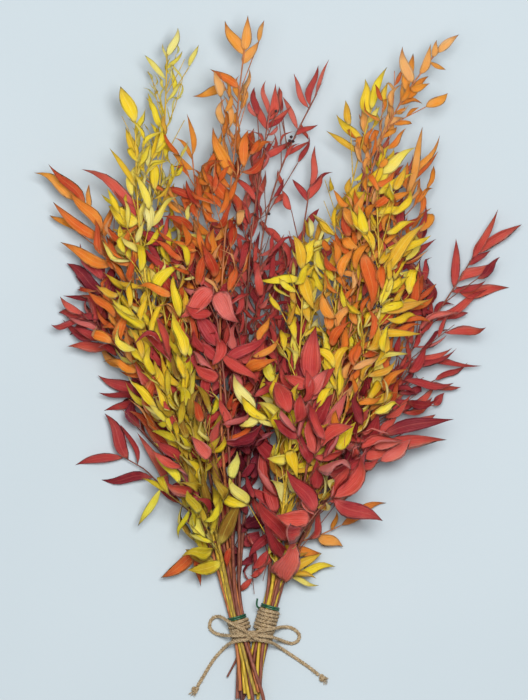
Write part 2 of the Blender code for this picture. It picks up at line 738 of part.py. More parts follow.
class Foliage:
    """Grows the twigs and leaves of all stems, each clear of the rest."""

    def __init__(self, room):
        self.room = room
        self.axes = []
        self.leaves = []
        self.berries = []
        self.missed = []

    def grow_stem(self, stem, route):
        """Keeps a stem's own axis."""
        axis = Axis((stem.name, "stem"), route, [stem_radius(stem, point.y) for point in route])
        self.axes.append((stem, axis))
        self.room.add(axis.key, *tube(axis.points, axis.radii, STEM_SIDES))
        return axis

    def add_twig(self, stem, twig, parent):
        """Keeps a twig if it is clear of everything but the axis that it grows from."""
        swollen = loft(twig_sections(twig.points, twig.radii, CLEAR))
        if not self.room.free(*swollen, parent.key):
            return False
        self.axes.append((stem, twig))
        self.room.add(twig.key, *loft(twig_sections(twig.points, twig.radii)))
        return True

    def add_leaf(self, stem, key, carrier, root, tip, width, draw, spread):
        """Keeps a leaf in the first of several forms and places in which it is clear."""
        stations = next(places for widest, places in LEAF_STATIONS if width < widest)
        reach = tip - root
        for attempt in range(TRIES):
            ease = attempt / TRIES
            form = LeafForm(
                draw.gauss(0.0, spread * (0.5 + ease)),
                draw.uniform(-0.12, 0.05),
                draw.uniform(-0.08, 0.08),
                math.radians(draw.uniform(-40, 40)),
                math.radians(draw.uniform(4, 24)),
            )
            turned = reach.copy()
            swing = math.radians(26) * ease
            turned.rotate(Matrix.Rotation(draw.uniform(-swing, swing), 3, "Z"))
            lift = Vector((0, 0, draw.uniform(-0.45, 0.45) * ease * reach.length))
            size = 1 - 0.3 * ease
            end = root + (turned + lift).normalized() * reach.length * size
            blade = laid_down(Blade(root, end, width * size, form, stations))
            if self.room.free(*leaf_shape(blade, CLEAR), carrier.key):
                self.leaves.append((stem, key, carrier, blade))
                self.room.add(key, *leaf_shape(blade))
                return True
        self.missed.append(key)
        return False

    def add_berries(self, stem, axis):
        """Keeps a stem's berries, each half sunk in its bark on the first side where it is clear."""
        for height in stem.berries:
            distance = axis.distance_at_height(height)
            for turn in range(8):
                out = Vector((0, 0, 1))
                out.rotate(Matrix.Rotation(math.radians(30 + 45 * turn), 3, axis.direction(distance)))
                middle = axis.at(distance) + (stem_radius(stem, height) + 0.6) * out
                if self.room.free(*lump(middle, [BERRY_RADIUS + CLEAR] * 3, 6, 4), axis.key):
                    berry = lump(middle, [BERRY_RADIUS] * 3, 6, 4)
                    self.room.add((*axis.key, "berry", height), *berry)
                    self.berries.append((stem, berry))
                    break
            else:
                print("no room for berry", stem.name, height)

    def shapes(self):
        """Each stem's closed shapes. A twig and the leaf at its end are one shape."""
        ends = {carrier.key: blade for _, _, carrier, blade in self.leaves
                if len(carrier.key) > 2 and blade.root == carrier.points[-1]}
        found = {stem.name: [] for stem in STEMS}
        for stem, axis in self.axes:
            if axis.key == (stem.name, "stem"):
                found[stem.name].append(tube(axis.points, axis.radii, STEM_SIDES))
                continue
            sections = twig_sections(axis.points, axis.radii)
            blade = ends.get(axis.key)
            if blade:
                sections += leaf_sections(blade)
            found[stem.name].append(loft(sections, blade and blade.tip))
        for stem, _, carrier, blade in self.leaves:
            if ends.get(carrier.key) is not blade:
                found[stem.name].append(leaf_shape(blade))
        for stem, berry in self.berries:
            found[stem.name].append(berry)
        return found


def grow_sprigs(foliage, axes):
    """Grows the twigs and leaves that are set by hand."""
    held = []
    for stem, axis in zip(STEMS, axes):
        for number, sprig in enumerate(stem.sprigs):
            key = (stem.name, "sprig", number)
            start = min(axis.distance_at_height(sprig.start), axis.length - SUNK)
            carrier = axis
            if sprig.points:
                points = [axis.at(start)] + [Vector(point) for point in sprig.points]
                radii = (TWIG_RADII[0], *[SPRIG_RADIUS] * (len(points) - 2), TWIG_RADII[1])
                carrier = Axis(key, points, radii)
                if not foliage.add_twig(stem, carrier, axis):
                    print("no room for sprig", stem.name, sprig.start)
                    continue
            held.append((stem, key, carrier, sprig, start))
    for stem, key, carrier, sprig, start in held:
        for number, (share, x, y, z, width) in enumerate(sprig.leaves):
            root = carrier.at(share * carrier.length if sprig.points else start)
            if sprig.points and share == 1.0:
                root = carrier.points[-1]
            draw = random.Random(f"{key}-{number}")
            if not foliage.add_leaf(stem, (*key, number), carrier, root, Vector((x, y, z)), width,
                                    draw, math.radians(14)):
                print("no room for leaf", stem.name, sprig.start, (x, y, z))


def twig_plan(stem, axis, number, start, draw):
    """One try at a ruled twig: its points from the stem outwards."""
    side = 1 if number % 2 else -1
    ahead = axis.direction(start)
    out = ahead.cross(Vector((0, 0, 1))).normalized() * side
    out.rotate(Matrix.Rotation(math.radians(draw.uniform(-65, 65)), 3, ahead))
    lean = math.radians(draw.uniform(18, 36))
    height = (axis.at(start).y - stem.bare) / (stem.route[-1][1] - stem.bare)
    length = (84 - 34 * height) * draw.uniform(0.6, 1.0)
    way = math.cos(lean) * ahead + math.sin(lean) * out
    root = axis.at(start)
    return [root, root + length * way]


def grow_twigs(foliage, axes):
    """Grows the ruled twigs, one from each stem in turn."""
    twigs = {stem.name: [] for stem in STEMS}
    for number in range(14):
        for stem, axis in zip(STEMS, axes):
            height = stem.bare + TWIG_SPACING * number
            if height > stem.route[-1][1] - 34:
                continue
            key = (stem.name, "twig", number)
            draw = random.Random(f"{key}")
            for _ in range(TRIES):
                start = axis.distance_at_height(height + draw.uniform(-8, 8))
                points = twig_plan(stem, axis, number, start, draw)
                twig = Axis(key, points, TWIG_RADII)
                if foliage.add_twig(stem, twig, axis):
                    twigs[stem.name].append(twig)
                    break
    return twigs


def grow_leaves(foliage, stem, axis, turns, first):
    """Grows leaves along an axis from its end back, for the turns that are given."""
    for turn in turns:
        distance = axis.length - LEAF_SPACING * turn
        if distance < first:
            continue
        key = (*axis.key, "leaf", turn)
        draw = random.Random(f"{key}")
        ahead = axis.direction(min(distance, axis.length - 0.1))
        root = axis.points[-1] if turn == 0 else axis.at(distance)
        if turn == 0 and axis.key[1] == "stem":
            root = axis.at(axis.length - 2 * SUNK)
        out = ahead.cross(Vector((0, 0, 1))).normalized() * (1 if turn % 2 else -1)
        out.rotate(Matrix.Rotation(math.radians(draw.uniform(-50, 50)), 3, ahead))
        lean = math.radians(draw.uniform(24, 48)) if turn else math.radians(draw.uniform(0, 12))
        way = math.cos(lean) * ahead + math.sin(lean) * out
        way.z *= 0.8
        height = (root.y - 60) / (stem.route[-1][1] - 60)
        length = stem.leaf * (1.06 - 0.3 * height) * draw.uniform(0.75, 1.1)
        width = length * stem.slim * draw.uniform(0.85, 1.2)
        foliage.add_leaf(stem, key, axis, root, root + length * way.normalized(), width, draw,
                         math.radians(36))


def grow_all():
    """Every stem's shapes, as a dictionary from its name to (corners, faces) pairs."""
    foliage = Foliage(Room())
    axes = [foliage.grow_stem(stem, route) for stem, route in zip(STEMS, stem_routes())]
    grow_sprigs(foliage, axes)
    twigs = grow_twigs(foliage, axes)
    for stem, axis in zip(STEMS, axes):
        grow_leaves(foliage, stem, axis, CROWN_LEAF_TURNS, stem.bare + 60)
    for stem in STEMS:
        for number, twig in enumerate(twigs[stem.name]):
            grow_leaves(foliage, stem, twig, TWIG_LEAF_TURNS[number % 3], 12)
    for stem, axis in zip(STEMS, axes):
        foliage.add_berries(stem, axis)
    print(len(foliage.leaves), "leaves,", len(foliage.missed), "without room")
    return foliage.shapes()


def finish(name, colour, roughness):
    """A Principled BSDF material."""
    material = bpy.data.materials.new(name)
    material.use_nodes = True
    shader = material.node_tree.nodes["Principled BSDF"]
    shader.inputs["Base Color"].default_value = (*colour, 1)
    shader.inputs["Roughness"].default_value = roughness
    return material


def mesh_object(name, shape, collection, material=None):
    """An object made from corners in millimetres and faces."""
    corners, faces = shape
    mesh = bpy.data.meshes.new(name)
    mesh.from_pydata([tuple(MM * value for value in corner) for corner in corners], [], faces)
    edit = bmesh.new()
    edit.from_mesh(mesh)
    bmesh.ops.recalc_face_normals(edit, faces=edit.faces)
    edit.to_mesh(mesh)
    edit.free()
    obj = bpy.data.objects.new(name, mesh)
    if material:
        mesh.materials.append(material)
    collection.objects.link(obj)
    return obj


def fuse(name, shapes, material):
    """One object made of overlapping closed shapes, joined by one Boolean union."""
    scene = bpy.context.scene.collection
    base = mesh_object(name, shapes[0], scene, material)
    others = bpy.data.collections.new(f"{name} repeats")
    scene.children.link(others)
    for number, shape in enumerate(shapes[1:]):
        mesh_object(f"{name} {number}", shape, others)
    union = base.modifiers.new("Union", "BOOLEAN")
    union.operation = "UNION"
    union.operand_type = "COLLECTION"
    union.collection = others
    union.solver = "MANIFOLD"
    bpy.context.view_layer.update()
    graph = bpy.context.evaluated_depsgraph_get()
    joined = bpy.data.meshes.new_from_object(base.evaluated_get(graph))
    base.modifiers.clear()
    base.data = joined
    for obj in list(others.objects):
        bpy.data.objects.remove(obj)
    bpy.data.collections.remove(others)
    return base


def ring_outline(stems, at, out, along_bunch):
    """Points round held stems, out from their middles, in a slice square to them or to Y.

    With along_bunch the slice stands square to a leaning half bunch, at a distance up it.
    """
    side = stems[0].side
    if along_bunch:
        ahead = Vector((side * math.sin(LEAN), math.cos(LEAN), 0))
        across = Vector((math.cos(LEAN), -side * math.sin(LEAN), 0))
        middle = Vector((side * HALF_BUNCH_X, 0, 0)) + at * ahead
        centres = [(stem.place, LOWEST_ROW_Z + stem.row * ROW) for stem in stems]
    else:
        across = Vector((1, 0, 0))
        middle = Vector((0, at, 0))
        centres = [held_place(stem, at) for stem in stems]
    points = []
    for n in range(RING_DIRECTIONS):
        angle = 2 * math.pi * (n + 0.5) / RING_DIRECTIONS
        way = (math.cos(angle), math.sin(angle))
        place, height = max(centres, key=lambda centre: centre[0] * way[0] + centre[1] * way[1])
        point = middle + (place + out * way[0]) * across
        points.append(point + Vector((0, 0, height + out * way[1])))
    return points


def wound_ring(stems, start, turns, thick, along_bunch=True, pressed=0.0):
    """A ring of touching turns round held stems, each turn a ridge. Its base may be pressed flat."""
    inner = STEM_RADIUS + GAP
    profile = [(start, inner)]
    for turn in range(turns):
        profile += [(start + (turn + 0.12) * thick, inner + 0.7 * thick),
                    (start + (turn + 0.5) * thick, inner + thick)]
    profile += [(start + (turns - 0.12) * thick, inner + 0.7 * thick),
                (start + turns * thick, inner)]
    rings = [ring_outline(stems, at, out, along_bunch) for at, out in profile]
    corners = [corner for ring in rings for corner in ring]
    for corner in corners:
        if corner.z < pressed:
            corner.z = 0.0
    count = len(profile)
    faces = []
    for k in range(count):
        for n in range(RING_DIRECTIONS):
            a = k * RING_DIRECTIONS + n
            b = k * RING_DIRECTIONS + (n + 1) % RING_DIRECTIONS
            c, d = [(i + RING_DIRECTIONS) % (count * RING_DIRECTIONS) for i in (b, a)]
            faces += [(a, b, c), (a, c, d)]
    return corners, faces


def smooth_route(points, step):
    """Points at even steps along a smooth curve through a cord's route."""
    points = [Vector(point) for point in points]
    ends = [2 * points[0] - points[1], *points, 2 * points[-1] - points[-2]]
    fine = []
    for a, b, c, d in zip(ends, ends[1:], ends[2:], ends[3:]):
        for n in range(12):
            t = n / 12
            fine.append(0.5 * (2 * b + (c - a) * t + (2 * a - 5 * b + 4 * c - d) * t ** 2
                               + (3 * b - a - 3 * c + d) * t ** 3))
    fine.append(points[-1])
    reach = np.cumsum([0.0] + [(b - a).length for a, b in zip(fine, fine[1:])])
    even = np.linspace(0, reach[-1], round(reach[-1] / step) + 1)
    return [Vector([np.interp(at, reach, [point[n] for point in fine]) for n in range(3)])
            for at in even]


def cord_object(name, route, material):
    """A plain tube of twine, as a curve with a bevel."""
    curve = bpy.data.curves.new(name, "CURVE")
    curve.dimensions = "3D"
    curve.bevel_depth = CORD_RADIUS * MM
    curve.bevel_resolution = 2
    curve.use_fill_caps = True
    points = smooth_route(route, CORD_STEP)
    spline = curve.splines.new("POLY")
    spline.points.add(len(points) - 1)
    for place, point in zip(spline.points, points):
        place.co = (*(MM * value for value in point), 1)
    curve.materials.append(material)
    obj = bpy.data.objects.new(name, curve)
    bpy.context.scene.collection.objects.link(obj)
    print(name, round(sum((b - a).length for a, b in zip(points, points[1:])), 1), "mm long")
    return obj


def tie_objects(twine, green):
    """The green ties, the wraps of twine, the binding and its bow. Returns the cords' objects."""
    scene = bpy.context.scene.collection
    for hand, stems in (("left", LEFT_STEMS), ("right", RIGHT_STEMS)):
        start, turns = WRAPS[hand]
        wrap = wound_ring(stems, start, turns, TWINE)
        mesh_object(f"twine_wrap_{hand}", wrap, scene, twine)
        above = start + turns * TWINE + GAP
        mesh_object(f"green_tie_{hand}", wound_ring(stems, above, 2, TIE_WIRE), scene, green)
    start, turns = BINDING
    binding = wound_ring(STEMS, start, turns, TWINE * 0.96, False, PRESSED)
    fuse("twine_binding", [binding, lump(*KNOT)], twine)
    cords = []
    for hand in ("left", "right"):
        cords.append(cord_object(f"twine_loop_{hand}", LOOPS[hand], twine))
        cords.append(cord_object(f"twine_tail_{hand}", TAILS[hand], twine))
        knot = lump((*TAIL_KNOTS[hand], TAIL_KNOT_HALF[2] + 0.1), TAIL_KNOT_HALF, 8, 5)
        cords.append(mesh_object(f"tail_knot_{hand}", knot, scene, twine))
    return cords


def stand_on_origin(cords):
    """Moves everything so that the bunch without its cords stands middle bottom on the origin."""
    bpy.context.view_layer.update()
    solids = [obj for obj in bpy.data.objects if obj not in cords]
    corners = np.array([obj.matrix_world @ Vector(corner)
                        for obj in solids for corner in obj.bound_box])
    low, high = corners.min(axis=0), corners.max(axis=0)
    for obj in bpy.data.objects:
        obj.location = (-(low[0] + high[0]) / 2, -(low[1] + high[1]) / 2, -low[2])
    print("origin is at", [round(1000 * float(value), 2) for value in (low + high) / 2], "mm")


def main():
    """Clears the scene and models the bunch."""
    for obj in list(bpy.data.objects):
        bpy.data.objects.remove(obj)
    finishes = {name: finish(name, dye.colour, dye.roughness) for name, dye in DYES.items()}
    shapes = grow_all()
    for stem in STEMS:
        fuse(f"{stem.name}_stem", shapes[stem.name], finishes[stem.dye])
    cords = tie_objects(finish("twine", (0.40, 0.29, 0.17), 0.9), finish("tie", (0.03, 0.13, 0.06), 0.5))
    stand_on_origin(cords)


if __name__ == "__main__":
    main()
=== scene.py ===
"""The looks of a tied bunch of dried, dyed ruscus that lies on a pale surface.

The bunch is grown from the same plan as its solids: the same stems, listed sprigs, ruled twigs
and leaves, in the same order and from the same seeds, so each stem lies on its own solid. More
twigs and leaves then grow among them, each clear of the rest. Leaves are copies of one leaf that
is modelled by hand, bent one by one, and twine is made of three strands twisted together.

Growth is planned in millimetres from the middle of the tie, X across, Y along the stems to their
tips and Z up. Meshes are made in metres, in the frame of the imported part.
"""

import logging
import math
import random
from collections.abc import Callable, Iterable, Sequence
from dataclasses import dataclass, field, replace
from enum import Enum
from functools import partial

import bpy
import numpy as np
from mathutils import Matrix, Vector
from mathutils.bvhtree import BVHTree


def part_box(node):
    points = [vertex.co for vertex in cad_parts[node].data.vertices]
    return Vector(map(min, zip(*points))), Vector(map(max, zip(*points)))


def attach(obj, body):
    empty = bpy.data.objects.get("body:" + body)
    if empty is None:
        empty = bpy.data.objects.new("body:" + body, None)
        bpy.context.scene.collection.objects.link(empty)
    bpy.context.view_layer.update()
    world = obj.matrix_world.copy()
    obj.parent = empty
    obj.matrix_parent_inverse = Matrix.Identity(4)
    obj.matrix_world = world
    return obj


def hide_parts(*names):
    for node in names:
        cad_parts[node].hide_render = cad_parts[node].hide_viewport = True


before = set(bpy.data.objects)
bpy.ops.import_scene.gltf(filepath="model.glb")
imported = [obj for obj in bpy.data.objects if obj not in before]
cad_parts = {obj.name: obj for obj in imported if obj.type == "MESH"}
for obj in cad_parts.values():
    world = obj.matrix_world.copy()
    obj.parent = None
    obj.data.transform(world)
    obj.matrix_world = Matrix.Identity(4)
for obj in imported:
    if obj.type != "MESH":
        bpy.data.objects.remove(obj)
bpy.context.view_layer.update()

LOG = logging.getLogger("ruscus")
Shape = tuple[list[Vector], list[tuple[int, ...]]]
Piece = bpy.types.Object
Material = bpy.types.Material
Socket = bpy.types.NodeSocket

MM = 0.001
UP = Vector((0, 0, 1))

# Stems where they are held, and where their leafy part starts
STEM_RADIUS = 1.6
TIP_RADIUS = 0.95
BUTT_Y = -60.0
BUTT_SPREAD = (-6, 5)
HELD = (-11.0, 25.0)
LEAFY_Y = 60.0
LEAN = math.radians(15.5)
HALF_BUNCH_X = 10.7
ROW = 3.12
GAP = 0.35

# Twine and ties
TWINE = 3.4
TIE_WIRE = 1.8
TWINE_OUT = STEM_RADIUS + 0.15 + TWINE / 2
TIE_OUT = STEM_RADIUS + 0.2 + TIE_WIRE / 2
RING_DIRECTIONS = 12
LOWEST_ROW_Z = (STEM_RADIUS + GAP + TWINE) * math.cos(math.pi / RING_DIRECTIONS)

# The binding and the wraps, as (where the first turn starts, turns), and the steps of one turn
BINDING = (-9.9, 3)
WRAPS = {"left": (3.3, 2), "right": (3.3, 5)}
TURN_STEPS = 60

# The share of the twine's thickness between turns of the binding, and that a tail knot's twine has
PRESSED = 0.96
TIGHTENED = 0.85

# The knots at the tails' ends, and the routes of the bow's loops and tails
TAIL_KNOTS = {"left": (-52.6, -55.1), "right": (65.0, -44.0)}
TAIL_KNOT_HALF = (4.4, 3.5, 3.3)
LOOPS = {
    "left": ((-5.6, -0.3, 22.1), (-11, 2.6, 22.4), (-17.3, 6.2, 21.9), (-23.4, 9.7, 17.3),
             (-27.6, 12.1, 10.2), (-31.8, 12.9, 4.2), (-36.4, 11.2, 2.2), (-39, 6.8, 1.85),
             (-38.8, 1.8, 1.85), (-35, -2.1, 2.5), (-29.6, -3.9, 4.9), (-24.9, -4.4, 10.4),
             (-20, -4.4, 17.4), (-13.6, -4.3, 21.9), (-7.2, -4.2, 22.1)),
    "right": ((5.6, -0.3, 22.1), (11.4, 0.7, 22.4), (17.6, 1.7, 20.6), (22.9, 2.4, 15.0),
              (26.2, 2.9, 8.2), (30.6, 3.1, 3.4), (36, 2.3, 1.95), (41.2, -0.9, 1.85),
              (43.8, -5.4, 1.85), (41.8, -10.2, 1.85), (36.6, -12.2, 2.0), (31, -10.9, 3.2),
              (26.4, -9, 8), (22.2, -7.2, 14.8), (17, -5.6, 20.4), (12, -4.6, 22.3),
              (7.2, -4.2, 22.1)),
}
TAILS = {
    "left": ((-5.6, -8.3, 22.1), (-11.2, -8.8, 22.3), (-17, -10, 19.2), (-21.7, -12.3, 12.6),
             (-25.3, -15.6, 6.2), (-29.8, -20.4, 2.5), (-35, -26.4, 1.85), (-40.6, -35, 1.85),
             (-45.6, -43.6, 1.85), (-50.5, -51.6, 1.85)),
    "right": ((5.6, -8.3, 22.1), (11.2, -9, 22.3), (16.8, -10.7, 19), (21.3, -13, 12.2),
              (24.9, -15.4, 6), (29.6, -18.6, 2.5), (36, -22.8, 1.85), (45, -28.9, 1.85),
              (54, -35.2, 1.85), (61.6, -41.3, 1.85)),
}

# Where twine crosses in the bow's knot, from the lowest crossing up, and the green tie's cut end
KNOT_CROSSINGS = (
    ((-7.2, -4.2, 22.1), (-3.5, -4.2, 21.2), (3.5, -4.2, 21.2), (7.2, -4.2, 22.1)),
    ((5.6, -0.3, 22.1), (2.6, -2.2, 22.6), (-2.6, -6.4, 22.6), (-5.6, -8.3, 22.1)),
    ((-5.6, -0.3, 22.1), (-2.6, -2.2, 24.6), (2.6, -6.4, 24.6), (5.6, -8.3, 22.1)),
)
CUT_END = ((6.5, 21.0, 16.2), (4.6, 22.6, 19.4), (4.2, 25.5, 21.0), (4.9, 30.0, 21.6))

# Stems below the tie, where the half bunches cross, and above it, where they rise to their levels
CROSS_DEPTH = 26.0
CROSS_LIFT = 3.0
CROSS_FAN = 0.004
RISE = 165.0

# Heights at which a stem may bend, and how stems are bent clear of each other there
LEVELS = (-68, -48, -30, -11, 25, 42, 62, 90, 122, 158, 196, 236, 278, 320, 362, 404, 446, 490,
          530, 570)
BEND_ROUNDS = 220
BEND_SHARE = 0.3
STEM_GAP = 0.3
LEAFY_GAP = 0.8
BARE_GAP = 0.1

# How far past its butt and its tip a stem still pushes others, and how near them it has no bend
PAST_BUTT = 14
PAST_TIP = 40
NEAR_BUTT = 5
NEAR_TIP = 12

# How far a route may miss a point that it drops, from which height, and how long its runs may be
STRAIGHT = 0.8
STRAIGHT_FROM = 62
LONGEST_RUN = 90

# Leaves and twigs that the solids have
LEAF_HALF_THICK = 0.6
LEAF_STATIONS = ((9.0, (0.4,)), (18.5, (0.3, 0.68)), (99.0, (0.2, 0.46, 0.76)))
LEAF_ROOT_HALF = 0.32
TWIG_RADII = (0.72, 0.6)
SPRIG_RADIUS = 0.95
BERRY_RADIUS = 1.5
SUNK = 2.6
TWIG_SPACING = 50.0
MOST_TWIGS = 14
LEAF_SPACING = 14.5
TWIG_LEAF_TURNS = ((0,), (0,), (0, 2))
CROWN_LEAF_TURNS = (0, 1, 3)
CLEAR = 0.4
TABLE_CLEAR = 0.4
LEAF_LOWEST = 0.1
LAID_BELOW = 5.0
TRIES = 12
MOST_SHAPES = 8192

# A twig's length low on its stem, how much shorter it is at the tip, and where growth has to end:
# twigs below the stem's tip, and leaves above where the stem is bare or out along their twig
TWIG_LENGTH = 84
TWIG_SHORTER = 34
TWIG_BELOW_TIP = 34
CROWN_LEAF_ABOVE_BARE = 60
TWIG_LEAF_FROM = 12

# Twigs and leaves that the solids leave out
EXTRA_TWIGS = 38
EXTRA_TWIG_STEP = 14.5
EXTRA_TURNS = 8
EXTRA_SPACING = 9.5
CROWN_SPACING = 13.0
EXTRA_TRIES = 18
EXTRA_CLEAR = 0.06
EXTRA_HALF_THICK = 0.24
EXTRA_LOWEST = 34.0
EXTRA_HIGHEST = 120.0
EXTRA_RADII = (TWIG_RADII[0], 0.6, 0.42)
EXTRA_TWIG_BELOW_TIP = 22
EXTRA_TWIG_BELOW_BARE = 22
EXTRA_LEAF_BELOW_BARE = 10
EXTRA_LEAF_FROM = 5.0

# Where the crown starts and how far up it reaches
CROWN_Y = 390
CROWN_REACH = 130

# Places that the photograph shows bare, as (low x, high x, low y, high y), where no rule grows more
BARE_PLACES = (
    (-170, -90, 96, 206), (-150, -72, 50, 112), (-190, -118, 384, 470), (-62, -34, 462, 590),
    (-200, -146, 340, 384), (-170, -126, 206, 262), (0, 22, 462, 590), (-34, 0, 520, 590),
    (14, 46, 370, 450), (26, 90, 468, 590), (160, 220, 466, 590), (124, 160, 524, 590),
    (-128, -76, 560, 590), (76, 220, 10, 152), (112, 220, 140, 186), (140, 220, 170, 214),
    (156, 235, 236, 276), (170, 260, 310, 470), (-72, -42, 440, 470), (46, 62, 420, 470),
    (-175, -103, 474, 590), (-260, -188, 370, 450), (40, 110, -20, 46), (-60, 60, -90, 8),
    (8, 40, 6, 42),
)

# Places where only red stems grow more, and where no red stem does, given the same way
RED_PLACES = ((-24, 16, 36, 196), (-56, 8, 232, 330), (-12, 24, 330, 440), (84, 130, 60, 210))
NO_RED_PLACES = ((-70, -29, 140, 261), (-112, -70, 302, 420), (51, 96, 261, 464), (8, 56, 130, 182),
                 (51, 92, 50, 104), (-36, -4, 430, 520), (-62, -36, 380, 460), (96, 150, 261, 330))

# The share of its further growth that a stem keeps above a height, and where such growth starts
EXTRA_SHARES = {"yellow_right": (370, 0.45), "yellow_right_outer": (350, 0.5),
                "yellow_centre": (200, 0.9)}
EXTRA_FROM = {"red_big_left": 205, "red_tall_inner": 190, "red_tall_right": 190,
              "orange_tall": 200, "red_inner_right": 170}

# Leaves given past the solids' own, as (stem, height, tip, width)
MORE_LEAVES = (
    ("orange_tall", 78, (-20, 52, 34), 8),
    ("red_inner_right", 76, (4, 49, 26), 12),
    ("red_inner_right", 92, (-4, 66, 34), 10),
    ("yellow_centre", 86, (16, 68, 36), 11),
    ("yellow_right_outer", 52, (73, 54, 24), 9),
    ("yellow_right", 66, (58, 74, 26), 9),
    ("orange_right_outer", 70, (64, 72, 20), 10),
    ("red_big_left", 312, (-10, 284, 88), 20),
    ("red_far_right", 342, (229, 390, 32), 7),
    ("orange_right_outer", 400, (157, 468, 54), 8),
    ("red_low_right", 168, (184, 173, 34), 14),
    ("red_right_mid", 244, (196, 284, 36), 11),
)

# Twigs likewise, as (stem, height, points, radius at root and end), and berries with their stalks
MORE_TWIGS = (
    ("red_inner_right", 84, ((15, 70, 34), (10, 46, 26)), (0.7, 0.42)),
    ("red_tall_right", 96, ((2, 78, 22), (0, 52, 12), (2, 34, 6)), (0.7, 0.42)),
    ("red_far_left", -20, ((-15, -28, 5), (-23, -43, 4.5)), (1.4, 1.35)),
)
MORE_BERRIES = (
    ("red_tall_inner", 472, (22, 479, 58)),
    ("red_tall_right", 449, (36, 455.5, 48)),
    ("red_tall_right", 446, (34.5, 452, 47)),
    ("red_tall_inner", 378, (15.6, 384.5, 62)),
    ("yellow_right_outer", 294, (118, 299, 88)),
)
BERRY_STALK_RADII = (0.4, 0.35)

# How far each stem's leaves lean to the dark or the pale end of their dye, and how far tones vary
TONES = {
    "orange_left_inner": 0.26, "orange_tall": 0.36, "orange_far_left": 0.40, "orange_right": 0.56,
    "orange_right_outer": 0.48, "yellow_right": 0.30, "yellow_right_outer": 0.42,
    "yellow_centre": 0.56, "yellow_left": 0.56, "yellow_tall": 0.62, "olive_left": 0.36,
    "red_far_left": 0.22, "red_left_inner": 0.4, "red_far_right": 0.36, "red_right": 0.4,
    "red_right_mid": 0.42, "red_big_left": 0.58, "dark_red_low": 0.36,
}
MIDDLE_TONE = 0.5
# Crown leaves lean paler: partly their own withered paling, partly painted light that brightens the top of
# the bunch
CROWN_PALING_AND_LIGHT = 0.28
TONE_SPREAD = 0.25

# The finer leaf
LEAF_THIN = 0.17
LEAF_RIPPLE = 0.2
KINK = 9.0
KINK_MORE = 34.0
PETIOLE_HALF = 0.34
VEINS = 9.0

# Stalks: their steps, how much finer they are than the solids', and their knots
STALK_STEP = 7.0
FINER = 0.3
FINEST_AFTER = 240
KNOT_EVERY = 27
KNOT_SWELL = 0.22

# Strands: their steps, how far one runs in a turn round the twine, and the twine's loose fibres
STRAND_STEP = 0.9
TWIST_PITCH = 9.5
HAIR_EVERY = 2
HAIR_RADII = (0.09, 0.07, 0.04)
FRAYED_HAIRS = 16
FRAYED_RADIUS = 0.16

# The camera
VIEW_CENTRE = (11.0, 259.4)
VIEW_LEVEL = 50.0
VIEW_HEIGHT = 644.0
CAMERA_DISTANCE = 8000.0
SENSOR = 36.0

# The lights, as (name, place, size, power), the room and the floor
LIGHTS = (("key", (0.20, 0.32, 2.6), 0.7, 58.5), ("fill", (-0.4, 0.1, 2.5), 1.2, 11.0))
ROOM_COLOUR = (0.94, 0.97, 1.0)
ROOM_STRENGTH = 0.30
FLOOR_LOW = (0.497, 0.568, 0.607)
FLOOR_HIGH = (0.533, 0.602, 0.638)
FLOOR_SIZE = 8.0
FLOOR_Z = -0.0004


class Dye(Enum):
    """The colours that stems were dyed."""

    RED = "red"
    DARK_RED = "dark_red"
    ORANGE = "orange"
    YELLOW = "yellow"
    OLIVE = "olive"


@dataclass(frozen=True)
class Sprig:
    """A listed twig. It leaves its stem at a height, passes its points and holds its leaves.

    Each leaf is (how far along the sprig, tip x, tip y, tip z, width). A sprig with no points
    stands for the stem itself there.
    """

    start: float
    points: tuple
    leaves: tuple


@dataclass(frozen=True)
class Stem:
    """A leafy stem: its place in the tie, how it is leafed, its way up and what is given one by one.

    What is given one by one is sprigs and bare leaves, a bare leaf as (height, tip x, tip y, tip z,
    width). A stem grows no ruled twig below where it is bare.
    """

    name: str
    dye: Dye
    side: int
    row: int
    place: float
    level: float
    leaf: float
    slim: float
    bare: float
    route: tuple
    set_by_hand: tuple = ()
    berries: tuple = ()

    @property
    def top(self) -> float:
        """The height of its tip."""
        return self.route[-1][1]

    @property
    def sprigs(self) -> list[Sprig]:
        """What is given one by one, with each bare leaf as a sprig that has no points."""
        return [item if isinstance(item, Sprig) else Sprig(item[0], (), ((0.0, *item[1:]),))
                for item in self.set_by_hand]


